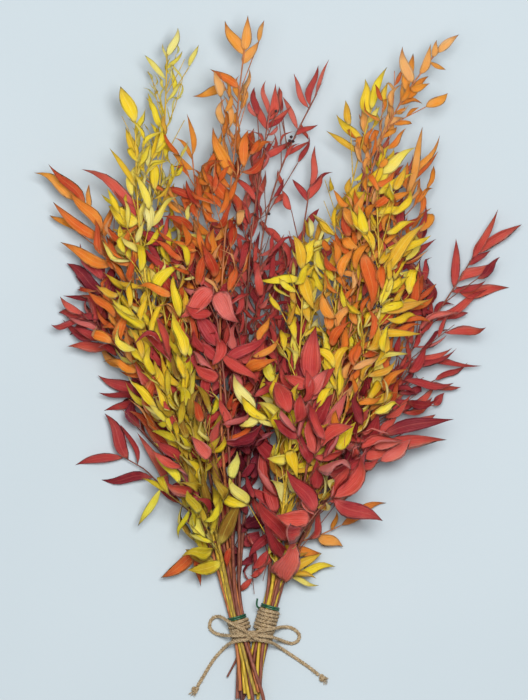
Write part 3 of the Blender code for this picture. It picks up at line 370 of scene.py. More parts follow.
# The half bunch that leans to the left, X below 0
LEFT_STEMS = (
    Stem("red_far_left", Dye.RED, -1, 0, -3.6, 19, 42, 0.27, 150,
         ((-31, 58), (-53, 108), (-78, 160), (-100, 212), (-119, 262), (-132, 300), (-140, 326)),
         (Sprig(104, ((-78, 128, 14), (-99, 149, 10), (-118, 160, 8)),
                ((1.0, -165, 154, 1, 9), (0.95, -136, 201, 14, 13), (0.62, -142, 141, 0.6, 10),
                 (0.84, -121, 193, 20, 6), (0.4, -106, 184, 20, 9), (0.36, -54, 141, 30, 12))),
          Sprig(196, ((-106, 219, 12),),
                ((1.0, -143, 236, 8, 13), (0.88, -138, 203, 4, 8), (0.7, -142, 220, 16, 6))),
          Sprig(258, ((-138, 281, 14), (-150, 287, 12)),
                ((1.0, -179, 294, 8, 13), (0.9, -169, 274, 2, 10), (0.6, -146, 312, 20, 11))),
          (290, -172, 296, 12, 11), (304, -175, 309, 24, 7), (312, -172, 341, 14, 13),
          (326, -159, 358, 24, 12))),
    Stem("orange_far_left", Dye.ORANGE, -1, 1, -5.4, 38, 44, 0.25, 150,
         ((-32, 58), (-48, 108), (-67, 165), (-86, 220), (-104, 275), (-120, 325), (-141, 372),
          (-163, 399)),
         (Sprig(66, ((-42, 76, 24), (-52, 75, 18)),
                ((1.0, -63, 66, 12, 8), (0.88, -47, 41, 12, 7), (0.6, -48, 91, 26, 6))),
          (170, -114, 203, 30, 14), (338, -177, 359, 28, 12), (360, -184, 396, 30, 11),
          (366, -169, 407, 48, 12), (397, -201, 423, 36, 11), (390, -189, 430, 48, 10))),
    Stem("yellow_left", Dye.YELLOW, -1, 2, -3.6, 62, 38, 0.28, 150,
         ((-29, 58), (-41, 108), (-56, 160), (-73, 215), (-88, 270), (-98, 325), (-104, 375), (-107, 425),
          (-107, 470)),
         ((470, -121, 502, 60, 13), (432, -117, 464, 54, 9), (408, -131, 445, 58, 6),
          (376, -132, 392, 66, 16), (192, -100, 209, 72, 9), (196, -51, 245, 80, 9))),
    Stem("yellow_tall", Dye.YELLOW, -1, 1, -1.8, 47, 28, 0.2, 240,
         ((-26, 58), (-38, 108), (-52, 165), (-66, 220), (-78, 275), (-86, 330), (-88, 380), (-84, 425),
          (-79, 465), (-80, 505), (-78, 532)),
         ((532, -68, 556, 48, 8), (508, -99, 531, 44, 6), (462, -98, 492, 50, 7), (446, -70, 440, 44, 3))),
    Stem("red_left_inner", Dye.RED, -1, 2, 0.0, 54, 42, 0.3, 110,
         ((-22, 58), (-32, 108), (-43, 165), (-52, 220), (-60, 275), (-68, 325), (-79, 358), (-90, 377)),
         ((376, -157, 426, 62, 13), (370, -133, 406, 54, 9), (358, -103, 368, 66, 12),
          (322, -100, 355, 68, 9), (160, -73, 178, 66, 11))),
    Stem("orange_left_inner", Dye.ORANGE, -1, 1, 1.8, 50, 36, 0.28, 130,
         ((-20, 58), (-27, 108), (-34, 165), (-38, 220), (-42, 275), (-46, 325), (-50, 375), (-52, 410),
          (-56, 440)),
         ((440, -60, 477, 50, 6), (425, -73, 442, 44, 7), (398, -82, 408, 54, 8), (412, -31, 440, 58, 9))),
    Stem("orange_tall", Dye.ORANGE, -1, 2, 3.6, 66, 36, 0.3, 140,
         ((-17, 58), (-22, 108), (-27, 165), (-29, 220), (-30, 275), (-28, 325), (-24, 375), (-19, 420),
          (-14, 460), (-12, 500), (-6, 536)),
         ((536, -4, 567, 64, 10), (530, -26, 562, 66, 11), (534, -4, 504, 60, 8), (500, -39, 518, 62, 9),
          Sprig(486, ((-23, 499, 62),), ((1.0, -55, 493, 58, 9),)),
          (418, -36, 464, 76, 12), (396, -44, 424, 78, 13))),
    Stem("red_big_left", Dye.RED, -1, 3, 1.8, 76, 44, 0.42, 120,
         ((-17, 58), (-19, 108), (-21, 165), (-24, 220), (-29, 262), (-33, 296), (-36, 318)),
         ((316, -68, 290, 82, 19), (318, -10, 284, 86, 21), (262, -54, 305, 80, 21),
          (250, -54, 266, 86, 11), (256, 9, 231, 90, 11), (246, 16, 275, 82, 12), (186, -30, 216, 84, 9))),
    Stem("red_tall_inner", Dye.RED, -1, 1, 5.4, 44, 34, 0.24, 120,
         ((-12, 58), (-12, 108), (-11, 165), (-9, 220), (-6, 275), (-4, 325), (0, 375), (6, 415), (12, 450),
          (17, 478)),
         ((478, 13, 508, 46, 6), (470, 22, 505, 50, 10), (462, 2, 498, 42, 8), (466, 36, 484, 44, 6)),
         (474, 384)),
    Stem("dark_red_low", Dye.DARK_RED, -1, 0, 0.0, 28, 36, 0.38, 50,
         ((-18, 58), (-17, 100), (-15, 150), (-11, 200), (-6, 236))),
    Stem("red_tall_right", Dye.RED, -1, 0, 3.6, 34, 32, 0.2, 140,
         ((-11, 58), (-7, 108), (-3, 165), (1, 220), (3, 275), (5, 325), (10, 370), (20, 410), (34, 446),
          (48, 476), (64, 496)),
         ((496, 71, 528, 30, 4), (484, 62, 524, 34, 8), (482, 39, 515, 36, 6), (468, 52, 453, 26, 5),
          (462, 28, 493, 38, 6), (438, 54, 452, 30, 5)),
         (452,)),
    Stem("olive_left", Dye.OLIVE, -1, 3, -1.8, 74, 38, 0.3, 60,
         ((-26, 58), (-34, 95), (-43, 135), (-52, 175), (-60, 208), (-67, 236)),
         ((64, -61, 56, 40, 13), (78, -13, 118, 66, 14),
          Sprig(92, ((-62, 116, 56), (-84, 132, 44)),
                ((1.0, -106, 99, 22, 8), (0.92, -104, 140, 40, 5), (0.5, -67, 86, 32, 5))),
          Sprig(118, ((-66, 136, 66),), ((1.0, -91, 169, 62, 10),)),
          (110, -46, 152, 82, 8))),
)

# The half bunch that leans to the right, X above 0
RIGHT_STEMS = (
    Stem("yellow_centre", Dye.YELLOW, 1, 3, -1.8, 76, 34, 0.32, 64,
         ((21, 58), (28, 108), (34, 165), (40, 220), (45, 270), (47, 315), (46, 340)),
         ((340, 59, 362, 80, 12), (332, 41, 370, 84, 12), (322, 4, 326, 76, 9), (330, 56, 297, 92, 13),
          (182, 45, 232, 88, 11), (172, 63, 208, 84, 11), (160, 14, 160, 84, 11), (168, 42, 142, 92, 11),
          (150, 80, 148, 74, 6),
          Sprig(178, ((18, 194, 84), (3, 203, 82)), ((1.0, -17, 238, 80, 13), (0.8, -12, 190, 84, 10))))),
    Stem("red_big_right", Dye.RED, 1, 3, 1.8, 84, 46, 0.42, 60,
         ((28, 58), (37, 92), (47, 130), (53, 168), (55, 200), (53, 232)),
         (Sprig(74, ((48, 96, 74), (62, 114, 72), (74, 123, 68)),
                ((1.0, 120, 102, 56, 17), (0.68, 22, 107, 84, 21), (0.76, 29, 151, 84, 16),
                 (0.95, 103, 141, 60, 12))),
          (82, 3, 124, 76, 18), (66, 12, 102, 64, 15), (232, 59, 282, 90, 20), (228, 21, 232, 92, 17),
          (222, 78, 243, 84, 10), (206, 75, 212, 82, 15), (160, 87, 222, 78, 17))),
    Stem("red_inner_right", Dye.RED, 1, 2, -3.6, 42, 34, 0.3, 55,
         ((17, 58), (20, 108), (23, 165), (28, 220), (33, 275), (40, 325), (48, 375), (55, 412)),
         ((412, 58, 448, 44, 7), (408, 79, 428, 42, 6), (396, 37, 417, 42, 7), (150, 3, 180, 60, 15))),
    Stem("orange_right", Dye.ORANGE, 1, 2, 0.0, 66, 31, 0.34, 120,
         ((25, 58), (42, 108), (60, 165), (76, 220), (90, 275), (100, 325), (104, 370), (106, 410),
          (116, 448), (132, 480), (150, 510), (174, 534)),
         ((534, 190, 549, 68, 8), (528, 170, 544, 70, 7), (524, 178, 517, 62, 5), (512, 164, 541, 70, 8),
          (504, 138, 538, 72, 11), (496, 147, 533, 60, 10), (490, 163, 512, 58, 8),
          (350, 108, 296, 88, 15))),
    Stem("yellow_right_outer", Dye.YELLOW, 1, 2, 3.6, 72, 34, 0.32, 130,
         ((30, 58), (50, 108), (72, 165), (92, 220), (108, 265), (117, 310), (117, 345), (114, 385),
          (115, 425)),
         (Sprig(40, ((29, 50, 20), (40, 52, 18)), ((1.0, 77, 59, 10, 9), (0.7, 65, 72, 22, 10))),
          (425, 151, 446, 78, 12), (420, 135, 454, 84, 9), (402, 150, 421, 80, 8), (384, 146, 395, 78, 8),
          (340, 165, 364, 78, 12), (326, 160, 374, 88, 13), (296, 164, 306, 72, 9), (270, 156, 275, 74, 9)),
         (300,)),
    Stem("yellow_right", Dye.YELLOW, 1, 1, -5.4, 54, 34, 0.28, 120,
         ((19, 58), (34, 108), (50, 165), (64, 220), (74, 275), (80, 325), (84, 375), (92, 415), (102, 450),
          (112, 482)),
         ((482, 122, 521, 58, 8), (474, 104, 509, 56, 11), (452, 77, 476, 58, 9), (440, 68, 461, 52, 7),
          (405, 121, 398, 66, 9))),
    Stem("red_mid_right", Dye.RED, 1, 1, -1.8, 42, 34, 0.3, 130,
         ((23, 58), (43, 108), (64, 165), (82, 220), (97, 275), (107, 325), (112, 370), (115, 405),
          (121, 432)),
         ((432, 127, 458, 42, 7), (410, 140, 430, 40, 8), (330, 150, 338, 48, 11))),
    Stem("orange_right_outer", Dye.ORANGE, 1, 1, 1.8, 47, 32, 0.27, 130,
         ((28, 58), (52, 108), (78, 165), (100, 220), (118, 275), (131, 325), (138, 370), (144, 412)),
         (Sprig(79, ((45, 82.5, 17.5), (62, 88, 12), (82, 97, 9)),
                ((1.0, 124, 118, 3, 10), (0.5, 84, 77, 6, 12), (0.8, 78, 111, 18, 5))),
          (412, 173, 457, 48, 7), (402, 171, 443, 42, 6), (408, 157, 468, 54, 8))),
    Stem("red_low_right", Dye.RED, 1, 1, 5.4, 58, 44, 0.36, 85,
         ((32, 58), (53, 98), (76, 132), (104, 165), (134, 182)),
         ((181, 186, 196, 58, 13), (180, 188, 176, 50, 15), (162, 130, 163, 46, 12),
          (164, 117, 201, 68, 16), (142, 60, 160, 62, 12))),
    Stem("red_right", Dye.RED, 1, 0, -3.6, 31, 34, 0.3, 130,
         ((22, 58), (45, 108), (70, 165), (94, 220), (116, 275), (134, 320), (149, 352)),
         ((352, 161, 394, 32, 6), (340, 170, 362, 26, 7), (300, 165, 322, 26, 10)),
         (336,)),
    Stem("red_far_right", Dye.RED, 1, 0, 0.0, 20, 42, 0.25, 150,
         ((28, 58), (56, 108), (86, 160), (114, 208), (142, 252), (168, 290), (192, 324), (214, 350)),
         ((350, 249, 376, 16, 12), (346, 229, 390, 30, 7), (318, 238, 317, 4, 12), (322, 220, 339, 20, 10),
          (316, 188, 363, 26, 9), (292, 219, 316, 8, 9))),
    Stem("red_right_mid", Dye.RED, 1, 0, 3.6, 33, 42, 0.25, 110,
         ((30, 58), (56, 104), (84, 150), (110, 192), (134, 226), (156, 252)),
         ((252, 213, 245, 14, 8), (250, 196, 284, 34, 11), (246, 187, 261, 24, 9), (232, 186, 229, 22, 8),
          Sprig(196, ((142, 207, 22), (168, 208, 14)), ((1.0, 178, 220, 12, 8),)),
          (208, 155, 214, 28, 12))),
)
STEMS = LEFT_STEMS + RIGHT_STEMS
HALVES = {"left": LEFT_STEMS, "right": RIGHT_STEMS}


def clamped(value: float) -> float:
    """A value kept from 0 to 1."""
    return min(max(value, 0.0), 1.0)


def smoothstep(value: float) -> float:
    """Rises from 0 to 1 as the value does, with flat ends."""
    value = clamped(value)
    return value * value * (3 - 2 * value)


def curve_through(points: Sequence[tuple[float, float]], at: float) -> float:
    """Reads a smooth curve through points.

    Args:
        points: (first, second) pairs, the first rising.
        at: where to read it.

    Returns:
        The second coordinate there.
    """
    k = 0
    while k < len(points) - 2 and at > points[k + 1][0]:
        k += 1

    def slope(i: int) -> float:
        """The curve's slope at one of its points."""
        low, high = points[max(i - 1, 0)], points[min(i + 1, len(points) - 1)]
        return (high[1] - low[1]) / (high[0] - low[0])

    (a, start), (b, end) = points[k], points[k + 1]
    span = b - a
    t = clamped((at - a) / span)
    return ((1 + 2 * t) * (1 - t) ** 2 * start + t * t * (3 - 2 * t) * end
            + t * (1 - t) * span * ((1 - t) * slope(k) - t * slope(k + 1)))


def reach_along(points: Sequence[Vector]) -> list[float]:
    """How far each point lies along the line through all."""
    return np.cumsum([0.0] + [(b - a).length for a, b in zip(points, points[1:])]).tolist()


def ahead_at(points: Sequence[Vector], k: int) -> Vector:
    """The way that a line runs at one of its points."""
    return (points[min(k + 1, len(points) - 1)] - points[max(k - 1, 0)]).normalized()


def turned(way: Vector, angle: float, axis: Vector | str) -> Vector:
    """A way turned round an axis."""
    way = way.copy()
    way.rotate(Matrix.Rotation(angle, 3, axis))
    return way


def held_place(stem: Stem, y: float) -> tuple[float, float]:
    """Where a stem lies in the straight stretch that the tie holds, as (x, z)."""
    middle = stem.side * (HALF_BUNCH_X + math.tan(LEAN) * y)
    return middle + stem.place / math.cos(LEAN), LOWEST_ROW_Z + stem.row * ROW


def stem_radius(stem: Stem, y: float) -> float:
    """A stem's radius at a height: even below the foliage, then thinner to its tip."""
    share = clamped((y - LEAFY_Y) / (stem.top - LEAFY_Y))
    return STEM_RADIUS + (TIP_RADIUS - STEM_RADIUS) * share


class Routes:
    """The ways of all stems from butt to tip, bent until they are clear of each other."""

    def planned_place(self, stem: Stem, y: float) -> tuple[float, float]:
        """Where a stem is meant to pass at a height, before it is bent clear.

        Args:
            stem: the stem.
            y: the height.

        Returns:
            Its x and z there.
        """
        x, z = held_place(stem, y)
        if y < HELD[0]:
            # The upper rows of the left half pass over the lower rows of the right half.
            x, z = held_place(stem, HELD[0])
            upper = stem.row / 3
            crossing = upper if stem.side < 0 else 1 - 0.6 * upper
            down = HELD[0] - y
            x += -stem.side * math.tan(LEAN) * crossing * down + CROSS_FAN * stem.place * down
            z -= stem.side * CROSS_LIFT * smoothstep(down / CROSS_DEPTH)
        elif y > HELD[1]:
            straight = [(at, held_place(stem, at)[0]) for at in HELD]
            x = curve_through(straight + [(there, across) for across, there in stem.route], y)
            z += (stem.level - z) * smoothstep((y - HELD[1]) / RISE)
        return x, z

    def solve(self) -> list[list[Vector]]:
        """Bends the stems clear of each other.

        Returns:
            Each stem's points, in the order of STEMS.
        """
        draw = random.Random("butts")
        butts = [BUTT_Y + draw.uniform(*BUTT_SPREAD) for _ in STEMS]
        count = len(LEVELS)
        place = np.array([[self.planned_place(stem, min(y, stem.top)) for y in LEVELS]
                          for stem in STEMS])
        level = np.array(LEVELS, float)
        there = np.array([(level > butt - PAST_BUTT) & (level < stem.top + PAST_TIP)
                          for butt, stem in zip(butts, STEMS)])
        loose = there & ((level < HELD[0] - 0.5) | (level > HELD[1] + 0.5))
        radius = np.array([[stem_radius(stem, y) for y in LEVELS] for stem in STEMS])
        step = np.diff(level)[None, :, None]
        first, second = np.triu_indices(len(STEMS), 1)
        gap = np.where(level[:-1] > LEAFY_Y, LEAFY_GAP, BARE_GAP)
        for _ in range(BEND_ROUNDS):
            push = np.zeros_like(place)
            steep = np.sqrt(1 + ((np.diff(place, axis=1) / step) ** 2).sum(axis=2))
            for share in (0.0, 0.25, 0.5, 0.75):
                along = (1 - share) * place[:, :-1] + share * place[:, 1:]
                apart = along[first] - along[second]
                distance = np.maximum(np.linalg.norm(apart, axis=2), 1e-6)
                wide = np.maximum(steep[first], steep[second])
                need = (radius[first, :-1] + radius[second, :-1] + STEM_GAP) * wide + gap
                both = there[first, :-1] & there[second, :-1]
                short = np.where(both, np.maximum(need - distance, 0.0), 0.0)
                move = BEND_SHARE * short[:, :, None] * apart / distance[:, :, None]
                for pair, sign in ((first, 1), (second, -1)):
                    np.add.at(push, (pair, slice(0, count - 1)), sign * (1 - share) * move)
                    np.add.at(push, (pair, slice(1, count)), sign * share * move)
            place += np.where(loose[:, :, None], push, 0.0)
            place[:, :, 1] = np.maximum(place[:, :, 1], radius + TABLE_CLEAR)
        routes = []
        for way, butt, stem in zip(place, butts, STEMS):
            bends = [y for y in LEVELS if butt + NEAR_BUTT < y < stem.top - NEAR_TIP]
            routes.append(self.without_straight_points(
                [Vector((np.interp(y, level, way[:, 0]), y, np.interp(y, level, way[:, 1])))
                 for y in (butt, *bends, stem.top)]))
        return routes

    def without_straight_points(self, route: list[Vector]) -> list[Vector]:
        """A route without the points above the tie that lie nearly on the line past them."""
        kept = route[:1]
        for before, point, after in zip(route, route[1:], route[2:]):
            ahead = (after - kept[-1]).normalized()
            aside = max((between - kept[-1]).cross(ahead).length for between in (before, point))
            if (point.y < STRAIGHT_FROM or aside > STRAIGHT
                    or after.y - kept[-1].y > LONGEST_RUN):
                kept.append(point)
        return kept + route[-1:]


@dataclass
class Axis:
    """A stem or a twig: the name of what it is part of, and its points with a radius at each."""

    key: tuple
    points: list[Vector]
    radii: Sequence[float]

    def __post_init__(self) -> None:
        """Measures the axis."""
        self.reach = reach_along(self.points)
        self.length = self.reach[-1]

    def span(self, distance: float) -> tuple[int, float]:
        """The stretch that a distance along the axis lies in, and the share of it passed."""
        k = 0
        while k < len(self.points) - 2 and distance > self.reach[k + 1]:
            k += 1
        return k, (distance - self.reach[k]) / (self.reach[k + 1] - self.reach[k])

    def at(self, distance: float) -> Vector:
        """The point at a distance along the axis."""
        k, share = self.span(distance)
        return self.points[k].lerp(self.points[k + 1], share)

    def direction(self, distance: float) -> Vector:
        """The way that the axis runs at a distance along it."""
        k, _ = self.span(distance)
        return (self.points[k + 1] - self.points[k]).normalized()

    def distance_at_height(self, y: float) -> float:
        """How far along the axis a height lies."""
        for k, (low, high) in enumerate(zip(self.points, self.points[1:])):
            if y <= high.y:
                share = (self.reach[k + 1] - self.reach[k]) * (y - low.y) / (high.y - low.y)
                return self.reach[k] + share
        return self.length

    def at_height(self, y: float) -> Vector:
        """The point at a height."""
        return self.at(self.distance_at_height(y))


def ring_faces(rings: int, around: int, first: int = 0) -> list[tuple[int, ...]]:
    """The faces between rings of corners that follow each other, from a first corner on."""
    faces: list[tuple[int, ...]] = []
    for ring in range(rings - 1):
        for n in range(around):
            a, b = first + ring * around + n, first + ring * around + (n + 1) % around
            faces += [(a, b, b + around), (a, b + around, a + around)]
    return faces


def tube(points: Sequence[Vector], radii: Sequence[float], sides: int = 4) -> Shape:
    """A closed tube along points, with a radius at each."""
    corners: list[Vector] = []
    across = UP.cross(ahead_at(points, 0))
    for k, (point, radius) in enumerate(zip(points, radii)):
        ahead = ahead_at(points, k)
        across = (across - across.dot(ahead) * ahead).normalized()
        up = ahead.cross(across)
        for n in range(sides):
            angle = 2 * math.pi * (n + 0.5) / sides
            corners.append(point + radius * (math.cos(angle) * across + math.sin(angle) * up))
    last = (len(points) - 1) * sides
    faces = ring_faces(len(points), sides)
    faces += [(0, n + 1, n) for n in range(1, sides - 1)]
    faces += [(last, last + n, last + n + 1) for n in range(1, sides - 1)]
    return corners, faces


@dataclass(frozen=True)
class LeafForm:
    """How a leaf departs from a flat straight blade."""

    roll: float = 0.0
    arch: float = 0.0
    sweep: float = 0.0
    twist: float = 0.0
    fold: float = 0.0


@dataclass(frozen=True)
class Habit:
    """How leaves of a kind may bend, in degrees and shares of their length, and what room they ask."""

    roll: float
    arch: tuple[float, float] = (-0.12, 0.05)
    sweep: float = 0.08
    twist: float = 40.0
    fold: tuple[float, float] = (4.0, 24.0)
    tries: int = TRIES
    clear: float = CLEAR
    shrink: float = 0.3


SET_BY_HAND = Habit(14.0)
BY_RULE = Habit(36.0)
SET_MORE = Habit(14.0, tries=40, clear=EXTRA_CLEAR)
EXTRA = Habit(64.0, (-0.22, 0.12), 0.22, 80.0, (4.0, 44.0), EXTRA_TRIES, EXTRA_CLEAR, 0.2)


@dataclass(frozen=True)
class Blade:
    """A leaf: where it starts and ends, its width and thickness, its form and its stations."""

    root: Vector
    tip: Vector
    width: float
    half_thick: float = LEAF_HALF_THICK
    form: LeafForm = LeafForm()
    stations: tuple = ()


def frame_along(ahead: Vector, roll: float = 0.0) -> tuple[Vector, Vector]:
    """Across and up directions of a section that faces up as far as its way ahead lets it."""
    up = UP - ahead.z * ahead
    if up.length < 0.2:
        up = Vector((0, 1, 0)) - ahead.y * ahead
    up = turned(up.normalized(), roll, ahead)
    return ahead.cross(up), up


def section(middle: Vector, flat: Vector, raised: Vector, thick: Vector) -> tuple:
    """A four-cornered section round its middle, as left, over, right and under."""
    return middle - flat + raised, middle + thick, middle + flat + raised, middle - thick


def twig_sections(points: list[Vector], radii: Sequence[float], swell: float = 0.0) -> list[tuple]:
    """A twig's sections."""
    sections = []
    for k, (point, radius) in enumerate(zip(points, radii)):
        across, up = frame_along(ahead_at(points, k))
        half = radius + swell
        sections.append(section(point, half * across, Vector(), half * up))
    return sections


def leaf_sections(blade: Blade, swell: float = 0.0) -> list[tuple]:
    """A leaf's lens-shaped sections at its stations."""
    length = (blade.tip - blade.root).length
    ahead = (blade.tip - blade.root).normalized()
    form = blade.form
    across, up = frame_along(ahead, form.roll)
    sections = []
    for share in blade.stations:
        bow = 4 * share * (1 - share) * length
        middle = blade.root + share * length * ahead
        middle += bow * (form.arch * up + form.sweep * across)
        turn = form.twist * (share - 0.3)
        side = math.cos(turn) * across + math.sin(turn) * up
        top = math.cos(turn) * up - math.sin(turn) * across
        widest = (share ** 0.75) * ((1 - share) ** 1.05) / 0.2945
        half = blade.width / 2 * widest + swell
        thick = blade.half_thick * (1.0 if share < 0.6 else 0.8) + swell
        sections.append(section(middle, half * math.cos(form.fold) * side,
                                half * math.sin(form.fold) * top, thick * top))
    return sections


def loft(sections: list[tuple], tip: Vector | None = None) -> Shape:
    """A closed shape through four-cornered sections, split alike above and below."""
    corners = [corner for ring in sections for corner in ring]
    faces: list[tuple[int, ...]] = [(0, 1, 2), (0, 2, 3)]
    for k in range(len(sections) - 1):
        left, over, right, under = range(4 * k, 4 * k + 4)
        faces += [(left, left + 4, over + 4), (left, over + 4, over),
                  (right, over, over + 4), (right, over + 4, right + 4),
                  (left, under + 4, left + 4), (left, under, under + 4),
                  (right, right + 4, under + 4), (right, under + 4, under)]
    left, over, right, under = range(len(corners) - 4, len(corners))
    if tip is None:
        return corners, faces + [(left, right, over), (left, under, right)]
    end = under + 1
    faces += [(left, end, over), (over, end, right), (right, end, under), (under, end, left)]
    return [*corners, tip], faces


def leaf_shape(blade: Blade, swell: float = 0.0) -> Shape:
    """A whole leaf, from a narrow root sunk in what carries it to its tip."""
    ahead = (blade.tip - blade.root).normalized()
    root = twig_sections([blade.root, blade.root + ahead], [LEAF_ROOT_HALF] * 2, swell)[:1]
    return loft(root + leaf_sections(blade, swell), blade.tip + swell * ahead)


def laid_down(blade: Blade) -> Blade:
    """A leaf whose tip comes near the table, bent down onto it. Another leaf stays as it is."""
    if blade.tip.z > LAID_BELOW:
        return blade
    tip = blade.tip.copy()
    for _ in range(4):
        corners, _ = leaf_shape(replace(blade, tip=tip))
        tip.z -= min(corner.z for corner in corners) - LEAF_LOWEST
    return replace(blade, tip=tip)


def berry_shape(middle: Vector, radius: float, around: int = 6, rows: int = 4) -> Shape:
    """A closed ball of few faces round a point."""
    corners = [Vector((0, 0, -1))]
    for row in range(1, rows):
        low = math.pi * row / rows
        for n in range(around):
            turn = 2 * math.pi * n / around
            corners.append(Vector((math.sin(low) * math.cos(turn), math.sin(low) * math.sin(turn),
                                   -math.cos(low))))
    corners.append(Vector((0, 0, 1)))
    last = len(corners) - 1
    first = last - around
    faces: list[tuple[int, ...]] = [(0, 1 + (n + 1) % around, 1 + n) for n in range(around)]
    faces += ring_faces(rows - 1, around, 1)
    faces += [(last, first + n, first + (n + 1) % around) for n in range(around)]
    return [middle + radius * corner for corner in corners], faces


class Room:
    """The solids placed so far, which whatever is added has to miss."""

    def __init__(self) -> None:
        """Starts empty."""
        self.keys: list[tuple] = []
        self.trees: list[BVHTree] = []
        self.low, self.high = np.zeros((2, MOST_SHAPES, 3))

    def add(self, key: tuple, shape: Shape) -> None:
        """Keeps a shape under a key."""
        count = len(self.keys)
        self.low[count], self.high[count] = np.min(shape[0], axis=0), np.max(shape[0], axis=0)
        self.keys.append(key)
        self.trees.append(BVHTree.FromPolygons(*shape))

    def free(self, shape: Shape, skip: tuple) -> bool:
        """Tests a swollen shape.

        Args:
            shape: its corners and faces.
            skip: the key of the one kept shape that it may meet.

        Returns:
            Whether it meets neither the table nor anything else that is kept.
        """
        low, high = np.min(shape[0], axis=0), np.max(shape[0], axis=0)
        if low[2] < LEAF_LOWEST - CLEAR:
            return False
        count = len(self.keys)
        near = np.all((self.low[:count] < high) & (self.high[:count] > low), axis=1)
        others = [self.trees[k] for k in np.flatnonzero(near) if self.keys[k] != skip]
        if not others:
            return True
        tree = BVHTree.FromPolygons(*shape)
        return not any(tree.overlap(other) for other in others)


@dataclass
class Leaf:
    """A leaf in place, with the key that seeds its look and the stem that it belongs to."""

    stem: Stem
    key: tuple
    carrier: Axis
    blade: Blade


@dataclass
class Foliage:
    """Grows the twigs and leaves of all stems, each clear of the rest."""

    room: Room = field(default_factory=Room)
    axes: list[tuple[Stem, Axis]] = field(default_factory=list)
    leaves: list[Leaf] = field(default_factory=list)
    berries: list[Vector] = field(default_factory=list)

    def grow_stem(self, stem: Stem, route: list[Vector]) -> Axis:
        """Keeps a stem's own axis."""
        axis = Axis((stem.name, "stem"), route, [stem_radius(stem, point.y) for point in route])
        self.axes.append((stem, axis))
        self.room.add(axis.key, tube(axis.points, axis.radii))
        return axis

    def add_twig(self, stem: Stem, twig: Axis, parent: Axis, clear: float = CLEAR) -> bool:
        """Keeps a twig if it is clear of everything but the axis that it grows from."""
        if not self.room.free(loft(twig_sections(twig.points, twig.radii, clear)), parent.key):
            return False
        self.axes.append((stem, twig))
        self.room.add(twig.key, loft(twig_sections(twig.points, twig.radii)))
        return True

    def add_leaf(self, leaf: Leaf, draw: random.Random, habit: Habit) -> bool:
        """Keeps a leaf in the first of several forms and places in which it is clear.

        Args:
            leaf: the leaf, its blade as planned.
            draw: its own draws.
            habit: how such leaves may bend.

        Returns:
            Whether it found room.
        """
        planned = leaf.blade
        stations = next(places for widest, places in LEAF_STATIONS if planned.width < widest)
        reach = planned.tip - planned.root
        for attempt in range(habit.tries):
            ease = attempt / habit.tries
            form = LeafForm(
                draw.gauss(0.0, math.radians(habit.roll) * (0.5 + ease)),
                draw.uniform(*habit.arch),
                draw.uniform(-habit.sweep, habit.sweep),
                math.radians(draw.uniform(-habit.twist, habit.twist)),
                math.radians(draw.uniform(*habit.fold)),
            )
            swing = math.radians(26) * ease
            way = turned(reach, draw.uniform(-swing, swing), "Z")
            lift = Vector((0, 0, draw.uniform(-0.45, 0.45) * ease * reach.length))
            size = 1 - habit.shrink * ease
            end = planned.root + (way + lift).normalized() * reach.length * size
            blade = laid_down(replace(planned, tip=end, width=planned.width * size, form=form,
                                      stations=stations))
            if self.room.free(leaf_shape(blade, habit.clear), leaf.carrier.key):
                self.leaves.append(replace(leaf, blade=blade))
                self.room.add(leaf.key, leaf_shape(blade))
                return True
        return False

    def add_berries(self, stem: Stem, axis: Axis) -> None:
        """Keeps a stem's berries, each half sunk in its bark on the first side that is clear."""
        for height in stem.berries:
            ahead = axis.direction(axis.distance_at_height(height))
            for turn in range(8):
                out = turned(UP, math.radians(30 + 45 * turn), ahead)
                middle = axis.at_height(height) + (stem_radius(stem, height) + 0.6) * out
                if self.room.free(berry_shape(middle, BERRY_RADIUS + CLEAR), axis.key):
                    self.keep_berry((*axis.key, "berry", height), middle)
                    break

    def keep_berry(self, key: tuple, middle: Vector) -> None:
        """Keeps a berry."""
        self.room.add(key, berry_shape(middle, BERRY_RADIUS))
        self.berries.append(middle)


def way_out(ahead: Vector, turn: int, spread: float, lean: tuple[float, float],
            draw: random.Random, under: bool = False) -> Vector:
    """Draws the way in which a twig or a leaf leaves its axis.

    Args:
        ahead: the axis's own way.
        turn: odd to leave it on its one side, even on the other.
        spread: how many degrees it may turn round the axis.
        lean: how few and how many degrees it may lean from the axis.
        draw: its own draws.
        under: whether it leaves below the axis.

    Returns:
        That way.
    """
    out = ahead.cross(UP).normalized() * (1 if turn % 2 else -1)
    out = turned(out, math.radians(draw.uniform(-spread, spread)), ahead)
    if under:
        out.z = -abs(out.z) - 0.5
        out.normalize()
    angle = math.radians(draw.uniform(*lean))
    return math.cos(angle) * ahead + math.sin(angle) * out


def crown(place: Vector) -> float:
    """How far a point lies in the crown, from 0 to 1 at the topmost tips."""
    return clamped((place.y - CROWN_Y) / CROWN_REACH)


def within(place: Vector, places: Iterable[tuple]) -> bool:
    """Tests whether a point lies in one of several places."""
    return any(left < place.x < right and low < place.y < high
               for left, right, low, high in places)


def bare_there(stem: Stem, place: Vector) -> bool:
    """Tests whether the photograph shows nothing of a stem's colour where a point lies."""
    red = stem.dye in (Dye.RED, Dye.DARK_RED)
    return within(place, BARE_PLACES) or within(place, NO_RED_PLACES if red else RED_PLACES)


def left_out(stem: Stem, y: float, draw: random.Random) -> bool:
    """Draws whether a stem's further growth at a height is left out."""
    above, share = EXTRA_SHARES.get(stem.name, (0, 1.0))
    return y > above and draw.random() > share


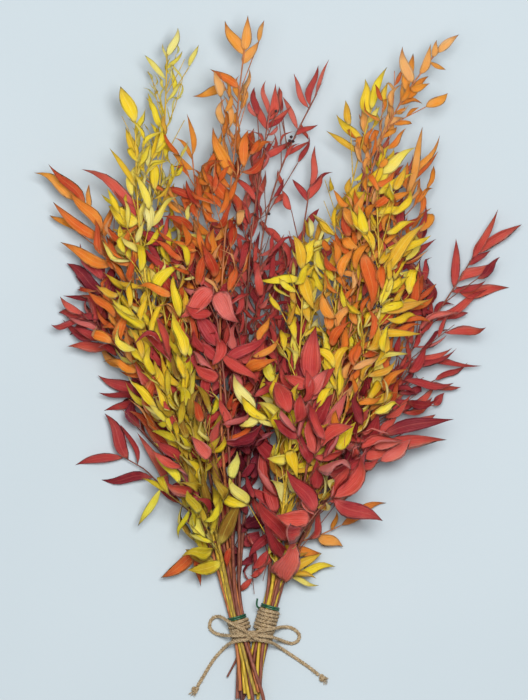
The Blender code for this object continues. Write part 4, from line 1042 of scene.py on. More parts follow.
class Gardener:
    """Grows the whole bunch: first what the solids have, then the rest of its foliage."""

    def __init__(self) -> None:
        """Grows the stems, and all that the solids have."""
        self.foliage = Foliage()
        self.axes = [self.foliage.grow_stem(stem, route)
                     for stem, route in zip(STEMS, Routes().solve())]
        self.grow_sprigs()
        twigs = self.grow_twigs()
        for stem, axis in zip(STEMS, self.axes):
            self.grow_leaves(stem, axis, CROWN_LEAF_TURNS, stem.bare + CROWN_LEAF_ABOVE_BARE)
        for stem in STEMS:
            for number, twig in enumerate(twigs[stem.name]):
                self.grow_leaves(stem, twig, TWIG_LEAF_TURNS[number % 3], TWIG_LEAF_FROM)
        for stem, axis in zip(STEMS, self.axes):
            self.foliage.add_berries(stem, axis)
        LOG.info("%d leaves as in the solids", len(self.foliage.leaves))

    def grow_sprigs(self) -> None:
        """Grows the listed twigs and leaves."""
        held = []
        for stem, axis in zip(STEMS, self.axes):
            for number, sprig in enumerate(stem.sprigs):
                key = (stem.name, "sprig", number)
                start = min(axis.distance_at_height(sprig.start), axis.length - SUNK)
                carrier = axis
                if sprig.points:
                    points = [axis.at(start), *map(Vector, sprig.points)]
                    radii = (TWIG_RADII[0], *[SPRIG_RADIUS] * (len(points) - 2), TWIG_RADII[1])
                    carrier = Axis(key, points, radii)
                    if not self.foliage.add_twig(stem, carrier, axis):
                        continue
                held.append((stem, key, carrier, sprig, start))
        for stem, key, carrier, sprig, start in held:
            for number, (share, x, y, z, width) in enumerate(sprig.leaves):
                root = carrier.at(share * carrier.length if sprig.points else start)
                if sprig.points and share == 1.0:
                    root = carrier.points[-1]
                leaf = Leaf(stem, (*key, number), carrier, Blade(root, Vector((x, y, z)), width))
                self.foliage.add_leaf(leaf, random.Random(f"{key}-{number}"), SET_BY_HAND)

    def twig_end(self, stem: Stem, axis: Axis, number: int, start: float,
                 draw: random.Random) -> Vector:
        """Plans a ruled twig.

        Args:
            stem: the stem that it grows from.
            axis: that stem's axis.
            number: which twig of the stem it is, counted from below.
            start: how far along the axis it leaves.
            draw: its own draws.

        Returns:
            The end of one try at it.
        """
        way = way_out(axis.direction(start), number, 65, (18, 36), draw)
        height = (axis.at(start).y - stem.bare) / (stem.top - stem.bare)
        length = (TWIG_LENGTH - TWIG_SHORTER * height) * draw.uniform(0.6, 1.0)
        return axis.at(start) + length * way

    def grow_twigs(self) -> dict[str, list[Axis]]:
        """Grows the ruled twigs, one from each stem in turn, and returns them by stem."""
        twigs: dict[str, list[Axis]] = {stem.name: [] for stem in STEMS}
        for number in range(MOST_TWIGS):
            for stem, axis in zip(STEMS, self.axes):
                height = stem.bare + TWIG_SPACING * number
                if height > stem.top - TWIG_BELOW_TIP:
                    continue
                key = (stem.name, "twig", number)
                draw = random.Random(f"{key}")
                for _ in range(TRIES):
                    start = axis.distance_at_height(height + draw.uniform(-8, 8))
                    end = self.twig_end(stem, axis, number, start, draw)
                    twig = Axis(key, [axis.at(start), end], TWIG_RADII)
                    if self.foliage.add_twig(stem, twig, axis):
                        twigs[stem.name].append(twig)
                        break
        return twigs

    def grow_leaves(self, stem: Stem, axis: Axis, turns: Iterable[int], first: float) -> None:
        """Grows leaves along an axis from its end back.

        Args:
            stem: the stem that they belong to.
            axis: what carries them.
            turns: which turns of leaves grow, counted from the end.
            first: how far along the axis the lowest may stand.
        """
        for turn in turns:
            distance = axis.length - LEAF_SPACING * turn
            if distance < first:
                continue
            key = (*axis.key, "leaf", turn)
            draw = random.Random(f"{key}")
            ahead = axis.direction(min(distance, axis.length - 0.1))
            root = axis.points[-1] if turn == 0 else axis.at(distance)
            if turn == 0 and axis.key[1] == "stem":
                root = axis.at(axis.length - 2 * SUNK)
            way = way_out(ahead, turn, 50, (24, 48) if turn else (0, 12), draw)
            way.z *= 0.8
            height = (root.y - LEAFY_Y) / (stem.top - LEAFY_Y)
            length = stem.leaf * (1.06 - 0.3 * height) * draw.uniform(0.75, 1.1)
            width = length * stem.slim * draw.uniform(0.85, 1.2)
            blade = Blade(root, root + length * way.normalized(), width)
            self.foliage.add_leaf(Leaf(stem, key, axis, blade), draw, BY_RULE)

    def grow_more(self) -> None:
        """Grows twigs and leaves that the solids leave out, each clear of all that is there."""
        kept = len(self.foliage.leaves)
        self.set_more_by_hand()
        for number in range(EXTRA_TWIGS):
            for stem, axis in zip(STEMS, self.axes):
                self.grow_extra_twig(stem, axis, number)
        carried = list(self.foliage.axes)
        for turn in range(EXTRA_TURNS):
            for stem, axis in carried:
                if axis.key[1] == "stem":
                    lowest = stem.bare - EXTRA_LEAF_BELOW_BARE
                    self.grow_extra_leaf(stem, axis, turn, CROWN_SPACING, lowest)
                elif axis.key[1] != "more berry":
                    self.grow_extra_leaf(stem, axis, turn, EXTRA_SPACING, EXTRA_LEAF_FROM)
        LOG.info("%d leaves in all", len(self.foliage.leaves))
        LOG.info("%d of them past the solids' own", len(self.foliage.leaves) - kept)

    def set_more_by_hand(self) -> None:
        """Sets the few leaves, twigs and berries that the photograph shows past the solids' own."""
        carriers = {stem.name: (stem, axis) for stem, axis in zip(STEMS, self.axes)}
        for number, (name, height, tip, width) in enumerate(MORE_LEAVES):
            stem, axis = carriers[name]
            blade = Blade(axis.at_height(height), Vector(tip), width, EXTRA_HALF_THICK)
            leaf = Leaf(stem, (name, "more leaf", number), axis, blade)
            if not self.foliage.add_leaf(leaf, random.Random(f"more {name} {number}"), SET_MORE):
                LOG.info("no room for %s leaf at %g", name, height)
        for number, (name, height, points, (thick, thin)) in enumerate(MORE_TWIGS):
            stem, axis = carriers[name]
            radii = [thick, *[(thick + thin) / 2] * (len(points) - 1), thin]
            way = [axis.at_height(height), *map(Vector, points)]
            twig = Axis((name, "more twig", number), way, radii)
            if not self.foliage.add_twig(stem, twig, axis, EXTRA_CLEAR):
                LOG.info("no room for %s twig at %g", name, height)
        for number, (name, height, place) in enumerate(MORE_BERRIES):
            stem, axis = carriers[name]
            key = (name, "more berry", number)
            ends = [axis.at_height(height), Vector(place)]
            self.foliage.axes.append((stem, Axis(key, ends, BERRY_STALK_RADII)))
            self.foliage.keep_berry(key, ends[1])

    def grow_extra_twig(self, stem: Stem, axis: Axis, number: int) -> None:
        """Grows one more twig between the ruled ones, if a place is clear."""
        turn = number * 2 % EXTRA_TWIGS + (number * 2 >= EXTRA_TWIGS)
        lowest = max(stem.bare - EXTRA_TWIG_BELOW_BARE, EXTRA_LOWEST)
        height = lowest + EXTRA_TWIG_STEP * turn
        draw = random.Random(f"{stem.name}-extra-twig-{number}")
        highest = stem.top - EXTRA_TWIG_BELOW_TIP
        if height > highest or height < EXTRA_FROM.get(stem.name, 0):
            return
        if left_out(stem, height, draw):
            return
        for _ in range(EXTRA_TRIES):
            start = axis.distance_at_height(height + draw.uniform(-9, 9))
            end = self.twig_end(stem, axis, number + 1, start, draw)
            end.z = min(end.z, EXTRA_HIGHEST - 10)
            if bare_there(stem, end):
                continue
            root = axis.at(start)
            aside = (end - root).cross(UP).normalized()
            middle = root.lerp(end, 0.5)
            middle += aside * draw.uniform(-1.6, 1.6) + Vector((0, 0, draw.uniform(-1.2, 1.6)))
            twig = Axis((stem.name, "extra twig", number), [root, middle, end], EXTRA_RADII)
            if self.foliage.add_twig(stem, twig, axis, EXTRA_CLEAR):
                return

    def grow_extra_leaf(self, stem: Stem, axis: Axis, turn: int, spacing: float,
                        first: float) -> None:
        """Grows one more leaf at a turn counted from an axis's end, if a place is clear.

        Args:
            stem: the stem that it belongs to.
            axis: what carries it.
            turn: how many leaves stand between it and the end.
            spacing: how far apart leaves stand along the axis.
            first: how far along the axis the lowest may stand.
        """
        end = axis.length - 0.05
        distance = axis.length - spacing * (turn + 0.4)
        if turn == 0 and len(axis.key) > 2:
            distance = end
        if distance < first:
            return
        key = (*axis.key, "extra leaf", turn)
        draw = random.Random(f"{key}")
        distance = min(max(distance + draw.uniform(-3, 3), 1.0), end)
        root = axis.at(distance)
        if root.y < EXTRA_FROM.get(stem.name, 0) and axis.key[1] != "more twig":
            return
        if left_out(stem, root.y, draw):
            return
        way = way_out(axis.direction(distance), turn, 75, (14, 52), draw, turn % 3 == 2)
        way.z *= 0.75
        height = clamped((root.y - LEAFY_Y) / (stem.top - LEAFY_Y))
        length = stem.leaf * (1.12 - 0.24 * height) * draw.uniform(0.7, 1.2) * (1 - 0.3 * crown(root))
        width = length * stem.slim * draw.uniform(0.66, 1.12) * (1 - 0.2 * crown(root))
        tip = root + length * way.normalized()
        tip.z = min(tip.z, EXTRA_HIGHEST)
        if not bare_there(stem, tip):
            leaf = Leaf(stem, key, axis, Blade(root, tip, width, EXTRA_HALF_THICK))
            self.foliage.add_leaf(leaf, draw, EXTRA)


class FrameMap:
    """Turns the plan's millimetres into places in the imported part's frame, in metres."""

    def __init__(self) -> None:
        """Finds the shift between the two from a tail knot, which both hold."""
        low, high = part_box("tail_knot_left")
        x, y = TAIL_KNOTS["left"]
        self.shift = Vector(((low.x + high.x) / 2 / MM - x, (low.y + high.y) / 2 / MM - y, 0.0))

    def point(self, place: Sequence[float]) -> Vector:
        """One planned point in the frame."""
        return (Vector(place) + self.shift) * MM

    def points(self, places: np.ndarray) -> np.ndarray:
        """An array of planned points in the frame."""
        return (places + np.array(self.shift)) * MM


def linked(name: str, data: bpy.types.ID) -> Piece:
    """A new object in the scene."""
    made = bpy.data.objects.new(name, data)
    bpy.context.scene.collection.objects.link(made)
    return made


def smooth(piece: Piece) -> None:
    """Shades a piece smooth."""
    piece.data.polygons.foreach_set("use_smooth", [True] * len(piece.data.polygons))


def mesh_piece(name: str, corners: Sequence, faces: Sequence, material: Material) -> Piece:
    """A smooth piece of one material."""
    mesh = bpy.data.meshes.new(name)
    mesh.from_pydata(corners, [], faces)
    mesh.materials.append(material)
    piece = linked(name, mesh)
    smooth(piece)
    return piece


class Shader:
    """A material's nodes, with a short call for each kind that the bunch uses."""

    def __init__(self, name: str, roughness: float) -> None:
        """Starts a Principled material."""
        self.material = bpy.data.materials.new(name)
        self.material.use_nodes = True
        self.tree = self.material.node_tree
        self.surface = self.tree.nodes["Principled BSDF"].inputs
        self.surface["Roughness"].default_value = roughness
        kinds = ("ADD", "SUBTRACT", "MULTIPLY", "MAXIMUM")
        self.add, self.less, self.times, self.most = (partial(self.math, kind) for kind in kinds)

    def node(self, kind: str, **settings: object) -> bpy.types.Node:
        """Adds a node and sets it."""
        made = self.tree.nodes.new(kind)
        for name, value in settings.items():
            setattr(made, name, value)
        return made

    def put(self, socket: Socket, value: object) -> None:
        """Links a socket or sets it to a constant."""
        if isinstance(value, Socket):
            self.tree.links.new(value, socket)
        else:
            socket.default_value = value

    def math(self, operation: str, *values: object) -> Socket:
        """A sum on one to three values."""
        made = self.node("ShaderNodeMath", operation=operation)
        for socket, value in zip(made.inputs, values):
            self.put(socket, value)
        return made.outputs[0]

    def place(self, kind: str = "Object") -> Socket:
        """Where a point lies in the object, or on its UV map."""
        return self.node("ShaderNodeTexCoord").outputs[kind]

    def parted(self, kind: str, value: Socket) -> Sequence[Socket]:
        """The three parts of a colour or a place, by the kind of node that parts it."""
        made = self.node(kind)
        self.put(made.inputs[0], value)
        return made.outputs

    def noise(self, scale: float, detail: float = 3.0, place: Socket | None = None) -> Socket:
        """Soft noise from 0 to 1, over the object or over another place."""
        made = self.node("ShaderNodeTexNoise")
        self.put(made.inputs["Vector"], self.place() if place is None else place)
        self.put(made.inputs["Scale"], scale)
        self.put(made.inputs["Detail"], detail)
        return made.outputs["Fac"]

    def ramp(self, value: object, stops: Sequence[tuple]) -> Socket:
        """A colour read from stops, each a place from 0 to 1 and a linear colour."""
        made = self.node("ShaderNodeValToRGB")
        elements = made.color_ramp.elements
        while len(elements) < len(stops):
            elements.new(0.5)
        for element, (at, colour) in zip(elements, stops):
            element.position = at
            element.color = (*colour, 1)
        self.put(made.inputs[0], value)
        return made.outputs[0]

    def mix(self, share: object, first: object, second: object) -> Socket:
        """A mix of two colours."""
        made = self.node("ShaderNodeMix", data_type="RGBA")
        self.put(made.inputs["Factor"], share)
        for socket, value in ((made.inputs[6], first), (made.inputs[7], second)):
            self.put(socket, (*value, 1) if isinstance(value, tuple) else value)
        return made.outputs[2]

    def finish(self, colour: object, height: object, depth: float) -> Material:
        """Joins the colour and a bump of a depth in millimetres to the surface."""
        self.put(self.surface["Base Color"], colour)
        bump = self.node("ShaderNodeBump")
        self.put(bump.inputs["Distance"], depth * MM)
        self.put(bump.inputs["Height"], height)
        self.put(self.surface["Normal"], bump.outputs[0])
        return self.material


@dataclass(frozen=True)
class DyeLook:
    """The colours that a dye takes: leaves from darkest to palest, their backs and dry tips."""

    leaf: tuple
    back: tuple
    dry: tuple
    bark: tuple


LOOKS = {
    Dye.RED: DyeLook(
        ((0.17, 0.011, 0.020), (0.41, 0.034, 0.038), (0.60, 0.068, 0.050), (0.68, 0.140, 0.115)),
        (0.66, 0.18, 0.16), (0.17, 0.014, 0.020), (0.25, 0.066, 0.034)),
    Dye.DARK_RED: DyeLook(
        ((0.08, 0.007, 0.016), (0.18, 0.014, 0.028), (0.34, 0.030, 0.046), (0.54, 0.080, 0.084)),
        (0.46, 0.10, 0.11), (0.07, 0.008, 0.014), (0.13, 0.032, 0.024)),
    Dye.ORANGE: DyeLook(
        ((0.42, 0.034, 0.016), (0.71, 0.122, 0.020), (0.80, 0.26, 0.026), (0.80, 0.37, 0.13)),
        (0.88, 0.42, 0.16), (0.36, 0.05, 0.02), (0.48, 0.15, 0.038)),
    Dye.YELLOW: DyeLook(
        ((0.64, 0.28, 0.030), (0.83, 0.48, 0.018), (0.87, 0.64, 0.022), (0.82, 0.70, 0.22)),
        (0.90, 0.78, 0.26), (0.54, 0.28, 0.05), (0.66, 0.43, 0.024)),
    Dye.OLIVE: DyeLook(
        ((0.26, 0.13, 0.018), (0.54, 0.36, 0.018), (0.84, 0.67, 0.020), (0.90, 0.78, 0.16)),
        (0.82, 0.70, 0.18), (0.32, 0.16, 0.03), (0.44, 0.29, 0.03)),
}
TWINE_STOPS = ((0.2, (0.17, 0.095, 0.040)), (0.42, (0.42, 0.285, 0.145)),
               (0.65, (0.62, 0.46, 0.265)), (0.9, (0.78, 0.64, 0.42)))
TIE_STOPS = ((0.3, (0.008, 0.055, 0.025)), (0.55, (0.016, 0.11, 0.05)), (0.8, (0.05, 0.20, 0.10)))
BERRY_STOPS = ((0.3, (0.006, 0.004, 0.006)), (0.8, (0.05, 0.018, 0.02)))


class Palette:
    """Every material of the bunch, made once."""

    def __init__(self) -> None:
        """Makes the materials: the ties are dull scuffed plastic, the berries nearly black."""
        self.leaf = {dye: self.leaf_material(dye) for dye in Dye}
        self.bark = {dye: self.bark_material(dye) for dye in Dye}
        self.twine = self.twine_material()
        self.tie = self.grained("tie_green", 0.42, (700.0, 5.0), TIE_STOPS, 0.1)
        self.berry = self.grained("berry_black", 0.38, (800.0, 4.0), BERRY_STOPS, 0.35)
        self.floor = self.floor_material()

    def leaf_material(self, dye: Dye) -> Material:
        """A dyed dry leaf: parallel veins, a tone of its own, darker tips and a paler back."""
        look = LOOKS[dye]
        shader = Shader(f"leaf_{dye.value}", 0.5)
        add, less, times, most = shader.add, shader.less, shader.times, shader.most
        drawn = shader.node("ShaderNodeVertexColor", layer_name="leaf_look")
        tone, dry, back = shader.parted("ShaderNodeSeparateColor", drawn.outputs[0])
        across, along, _ = shader.parted("ShaderNodeSeparateXYZ", shader.place("UV"))
        blotch = shader.noise(95.0)
        shade = add(tone, shader.math("MULTIPLY_ADD", blotch, 0.42, -0.21))
        colour = shader.ramp(shade, [(n / 3, stop) for n, stop in enumerate(look.leaf)])
        wobble = times(shader.noise(240.0, 1.0), 1.6)
        veins = shader.math("SINE", add(times(across, 2 * math.pi * VEINS), wobble))
        from_rib = shader.math("ABSOLUTE", less(across, 0.5))
        rib = most(less(1.0, times(from_rib, 26.0)), 0.0)
        colour = shader.mix(most(times(veins, 0.16), 0.0), colour, look.dry)
        colour = shader.mix(times(rib, 0.35), colour, look.leaf[3])
        tip = most(times(less(along, 0.64), 2.8), 0.0)
        edge = most(times(less(from_rib, 0.44), 2.0), 0.0)
        worn = times(times(most(tip, edge), dry), add(blotch, 0.35))
        colour = shader.mix(shader.math("MINIMUM", worn, 0.8), colour, look.dry)
        colour = shader.mix(most(less(0.5, times(along, 2.0)), 0.0), colour, look.leaf[3])
        colour = shader.mix(times(back, 0.55), colour, look.back)
        shader.put(shader.surface["Roughness"], add(0.46, times(back, 0.24)))
        shader.put(shader.surface["Specular IOR Level"], 0.15)
        shader.put(shader.surface["Subsurface Weight"], 0.3)
        shader.put(shader.surface["Subsurface Radius"], (1.0, 0.6, 0.35))
        shader.put(shader.surface["Subsurface Scale"], 0.003)
        return shader.finish(colour, add(add(times(veins, 0.35), shader.noise(520.0)), rib), 0.3)

    def bark_material(self, dye: Dye) -> Material:
        """A dyed stem's bark: long faint streaks, darker blotches and a dull skin."""
        bark = LOOKS[dye].bark
        shader = Shader(f"bark_{dye.value}", 0.62)
        stretched = shader.node("ShaderNodeMapping")
        shader.put(stretched.inputs["Vector"], shader.place())
        shader.put(stretched.inputs["Scale"], (900.0, 55.0, 900.0))
        streak = shader.noise(1.0, 2.0, stretched.outputs[0])
        pale = tuple(min(1.0, channel * 1.6 + 0.03) for channel in bark)
        dark = tuple(channel * 0.4 for channel in bark)
        colour = shader.ramp(streak, [(0.3, dark), (0.52, bark), (0.75, pale)])
        colour = shader.mix(shader.times(shader.noise(60.0), 0.35), colour, dark)
        return shader.finish(colour, streak, 0.18)

    def twine_material(self) -> Material:
        """Jute twine: pale and dark fibres that run round each strand at a slant."""
        shader = Shader("twine_jute", 0.88)
        add, times = shader.add, shader.times
        round_strand, along, _ = shader.parted("ShaderNodeSeparateXYZ", shader.place("UV"))
        slant = add(times(round_strand, 2 * math.pi * 5), times(along, 90.0))
        fibre = shader.math("SINE", add(slant, times(shader.noise(900.0), 7.0)))
        tone = shader.math("MULTIPLY_ADD", fibre, 0.22, shader.noise(420.0, 6.0))
        return shader.finish(shader.ramp(tone, TWINE_STOPS), tone, 0.3)

    def grained(self, name: str, roughness: float, noise: tuple[float, float],
                stops: Sequence[tuple], depth: float) -> Material:
        """A material whose colour and bump follow one noise.

        Args:
            name: the material's name.
            roughness: how dull it is.
            noise: the noise's scale and detail.
            stops: the colours that the noise picks.
            depth: how deep the bump is, in millimetres.

        Returns:
            The material.
        """
        shader = Shader(name, roughness)
        grain = shader.noise(*noise)
        return shader.finish(shader.ramp(grain, stops), grain, depth)

    def floor_material(self) -> Material:
        """The pale surface, even but for a very soft cloudiness."""
        shader = Shader("floor_pale", 0.9)
        colour = shader.ramp(shader.noise(3.0, 2.0), [(0.2, FLOOR_LOW), (0.8, FLOOR_HIGH)])
        return shader.finish(colour, shader.noise(800.0), 0.05)


class LeafMould:
    """The leaf that every leaf is bent from: a flat lens of two sheets, joined at the rim."""

    def __init__(self) -> None:
        """Models it by hand and reads its places and faces."""
        bpy.ops.mesh.primitive_grid_add(x_subdivisions=4, y_subdivisions=8, size=2)
        leaf = bpy.context.object
        self.pick(leaf, lambda place: abs(place.x) < 0.99 and abs(place.y) < 0.99)
        bpy.ops.transform.translate(value=(0, 0, 1))
        bpy.ops.mesh.select_all(action="SELECT")
        bpy.ops.mesh.duplicate()
        bpy.ops.transform.resize(value=(1, 1, -1), center_override=(0, 0, 0))
        bpy.ops.mesh.flip_normals()
        bpy.ops.mesh.select_all(action="SELECT")
        bpy.ops.mesh.remove_doubles(threshold=0.01)
        for end in (-1, 1):
            self.pick(leaf, lambda place, end=end: place.y * end > 0.99)
            bpy.ops.mesh.merge(type="CENTER")
        bpy.ops.mesh.select_all(action="SELECT")
        bpy.ops.mesh.normals_make_consistent(inside=False)
        bpy.ops.object.mode_set(mode="OBJECT")
        places = np.array([vertex.co for vertex in leaf.data.vertices])
        self.across = places[:, 0]
        self.along = (places[:, 1] + 1) / 2
        self.layer = places[:, 2]
        self.faces = [tuple(face.vertices) for face in leaf.data.polygons]
        self.loops = np.concatenate(self.faces)
        self.under = np.array([float(face.normal.z < 0) for face in leaf.data.polygons
                               for _ in face.vertices])
        bpy.data.objects.remove(leaf)

    def pick(self, leaf: Piece, wanted: Callable[[Vector], bool]) -> None:
        """Leaves only the wanted vertices picked, in edit mode."""
        if bpy.context.mode != "EDIT_MESH":
            bpy.ops.object.mode_set(mode="EDIT")
        bpy.ops.mesh.select_mode(type="VERT")
        bpy.ops.mesh.select_all(action="DESELECT")
        bpy.ops.object.mode_set(mode="OBJECT")
        for vertex in leaf.data.vertices:
            vertex.select = wanted(vertex.co)
        bpy.ops.object.mode_set(mode="EDIT")

    def bent(self, leaf: Leaf, draw: random.Random) -> np.ndarray:
        """The leaf's places, bent to a blade.

        Args:
            leaf: where the leaf lies and how it departs from flat.
            draw: draws for what the plan leaves open.

        Returns:
            Its places in planned millimetres.
        """
        blade, form = leaf.blade, leaf.blade.form
        reach = blade.tip - blade.root
        length = reach.length
        ahead = reach.normalized()
        across, up = (np.array(way) for way in frame_along(ahead, form.roll))
        u, v = self.along, self.across
        bow = (4 * u * (1 - u) * length)[:, None]
        places = np.array(blade.root) + u[:, None] * length * np.array(ahead)
        places += bow * (form.arch * up + form.sweep * across)
        turn = (form.twist * (u - 0.3))[:, None]
        side = np.cos(turn) * across + np.sin(turn) * up
        top = np.cos(turn) * up - np.sin(turn) * across
        base, end = draw.uniform(0.72, 0.95), draw.uniform(1.05, 1.45)
        widest = base / (base + end)
        share = u ** base * (1 - u) ** end / (widest ** base * (1 - widest) ** end)
        half = np.maximum(blade.width / 2 * share, PETIOLE_HALF * (1 - u) * (u < 0.3))
        wave = draw.uniform(0, 6.3) + v * draw.uniform(0.4, 1.6)
        ripple = LEAF_RIPPLE * half * v ** 2 * np.sin(2 * math.pi * u * draw.uniform(1.2, 2.2) + wave)
        cup = np.sin(form.fold + draw.uniform(0.0, 0.28)) * half * np.abs(v) ** 1.6
        rim = draw.choice((-1, 1)) * v
        cup += draw.uniform(-0.2, 0.75) * half * np.maximum(rim, 0) ** 2 * np.sin(math.pi * u)
        thin = self.layer * LEAF_THIN * (1 - 0.5 * u)
        kink = KINK_MORE * (1 + 0.8 * crown(blade.root)) if "extra leaf" in leaf.key else KINK
        bend = math.radians(draw.gauss(0, kink))
        past = np.maximum(u - draw.uniform(0.45, 0.75), 0) * length
        sickle = draw.uniform(-0.05, 0.05) * length * np.sin(2 * math.pi * u)
        places += (half * np.cos(form.fold) * v + sickle)[:, None] * side
        places += (cup + ripple + past * math.sin(bend) + thin)[:, None] * top
        places -= (past * (1 - math.cos(bend)))[:, None] * np.array(ahead)
        places[:, 2] = np.maximum(places[:, 2], LEAF_LOWEST + thin)
        return places


@dataclass
class LeafPile:
    """All leaves of one stem, gathered into one mesh."""

    mould: LeafMould
    ground: FrameMap
    places: list[np.ndarray] = field(default_factory=list)
    looks: list[tuple[float, float]] = field(default_factory=list)

    def add(self, leaf: Leaf) -> None:
        """Bends one more leaf onto the pile and draws its tone and how dry it is."""
        draw = random.Random(f"look {leaf.key}")
        self.places.append(self.mould.bent(leaf, draw))
        # Crown leaves lean paler, partly from withering and partly as painted light on the top of the bunch
        middle = TONES.get(leaf.stem.name, MIDDLE_TONE) + CROWN_PALING_AND_LIGHT * crown(leaf.blade.root)
        self.looks.append((clamped(draw.gauss(middle, TONE_SPREAD)), draw.uniform(0.2, 1.0)))

    def build(self, name: str, material: Material) -> Piece:
        """Makes the mesh, with its UV map and the look of each leaf."""
        mould = self.mould
        corners = self.ground.points(np.concatenate(self.places))
        faces = [tuple(len(mould.along) * n + corner for corner in face)
                 for n in range(len(self.places)) for face in mould.faces]
        pile = mesh_piece(name, corners.tolist(), faces, material)
        flat = np.stack([mould.across * 0.5 + 0.5, mould.along], axis=1)[mould.loops]
        layer = pile.data.uv_layers.new(name="UVMap")
        layer.data.foreach_set("uv", np.tile(flat.ravel(), len(self.places)))
        look = pile.data.color_attributes.new("leaf_look", "FLOAT_COLOR", "CORNER")
        even = np.ones(len(mould.loops))
        told = [np.stack([tone * even, dry * even, mould.under, even], axis=1)
                for tone, dry in self.looks]
        look.data.foreach_set("color", np.concatenate(told).ravel())
        return pile


def even_points(points: Sequence[Vector], step: float) -> list[Vector]:
    """Points at even steps along straight runs between points."""
    reach = reach_along(points)
    even = np.linspace(0, reach[-1], max(round(reach[-1] / step), 1) + 1)
    return [Vector([np.interp(at, reach, [point[n] for point in points]) for n in range(3)])
            for at in even]


def smooth_route(route: Sequence[tuple], step: float = STRAND_STEP) -> list[Vector]:
    """Points at even steps along a smooth curve through a cord's route."""
    points = [Vector(point) for point in route]
    ends = [2 * points[0] - points[1], *points, 2 * points[-1] - points[-2]]
    fine = []
    for a, b, c, d in zip(ends, ends[1:], ends[2:], ends[3:]):
        for n in range(12):
            t = n / 12
            fine.append(0.5 * (2 * b + (c - a) * t + (2 * a - 5 * b + 4 * c - d) * t ** 2
                               + (3 * b - a - 3 * c + d) * t ** 3))
    return even_points([*fine, points[-1]], step)


@dataclass
class Spinner:
    """Makes pieces from round lines: stalks, strands of twine, wire and hairs."""

    ground: FrameMap

    def lines(self, name: str, lines: Sequence[tuple], material: Material,
              resolution: int = 1) -> Piece:
        """Makes one mesh of closed round lines.

        Args:
            name: the piece's name.
            lines: pairs of points and radii, in planned millimetres.
            material: its material.
            resolution: the bevel's, 0 for four sides, 1 for six, 2 for eight.

        Returns:
            The piece.
        """
        curve = bpy.data.curves.new(name, "CURVE")
        curve.dimensions = "3D"
        curve.bevel_depth = MM
        curve.bevel_resolution = resolution
        curve.use_fill_caps = True
        for points, radii in lines:
            spline = curve.splines.new("POLY")
            spline.points.add(len(points) - 1)
            for place, point, radius in zip(spline.points, points, radii):
                place.co = (*self.ground.point(point), 1)
                place.radius = radius
        piece = linked(name, curve)
        bpy.ops.object.select_all(action="DESELECT")
        piece.select_set(True)
        bpy.context.view_layer.objects.active = piece
        bpy.ops.object.convert(target="MESH")
        piece = bpy.context.object
        piece.data.materials.clear()
        piece.data.materials.append(material)
        smooth(piece)
        piece.select_set(False)
        return piece

    def strands(self, path: Sequence[Vector], thick: float = TWINE) -> list[tuple]:
        """Three strands twisted round even points along a path, as lines for a mesh."""
        strand = thick / 2 / (1 + 2 / math.sqrt(3))
        out = thick / 2 - strand
        across = ahead_at(path, 0).orthogonal()
        ways = []
        for k in range(len(path)):
            ahead = ahead_at(path, k)
            across = (across - across.dot(ahead) * ahead).normalized()
            ways.append((across, ahead.cross(across)))
        reach = reach_along(path)
        made = []
        for number in range(3):
            points = []
            for point, (side, up), at in zip(path, ways, reach):
                angle = 2 * math.pi * (number / 3 + at / TWIST_PITCH)
                points.append(point + out * (math.cos(angle) * side + math.sin(angle) * up))
            swell = [strand * (1.06 + 0.05 * math.sin(at * 1.7 + number * 2)) for at in reach]
            made.append((points, swell))
        return made


def softened(axis: Axis) -> list[Vector]:
    """A stem's way with its corners rounded, at even steps."""
    points = even_points(axis.points, STALK_STEP)
    soft = []
    for k in range(len(points)):
        wide = min(3, k, len(points) - 1 - k)
        near = points[k - wide:k + wide + 1]
        soft.append(sum(near, Vector()) / len(near))
    return soft


def stalk_line(axis: Axis) -> tuple:
    """A stem's or twig's points and radii, a little uneven and knotted like the real one."""
    draw = random.Random(f"bark {axis.key}")
    stem = axis.key[1] == "stem"
    points = softened(axis) if stem else even_points(axis.points, STALK_STEP)
    knot = draw.uniform(0, 6.3)
    radii = []
    for at in np.linspace(0, axis.length, len(points)):
        k, share = axis.span(min(at, axis.length - 0.01))
        radius = axis.radii[k] + (axis.radii[k + 1] - axis.radii[k]) * share
        ring = max(math.sin(at * 2 * math.pi / KNOT_EVERY + knot), 0) ** 12
        height = clamped((axis.at(at).y - LEAFY_Y) / FINEST_AFTER)
        fine = 1 - FINER * (height if stem else 1.0)
        radii.append(radius * fine * (1 + KNOT_SWELL * ring + draw.uniform(-0.06, 0.06)))
    return points, radii


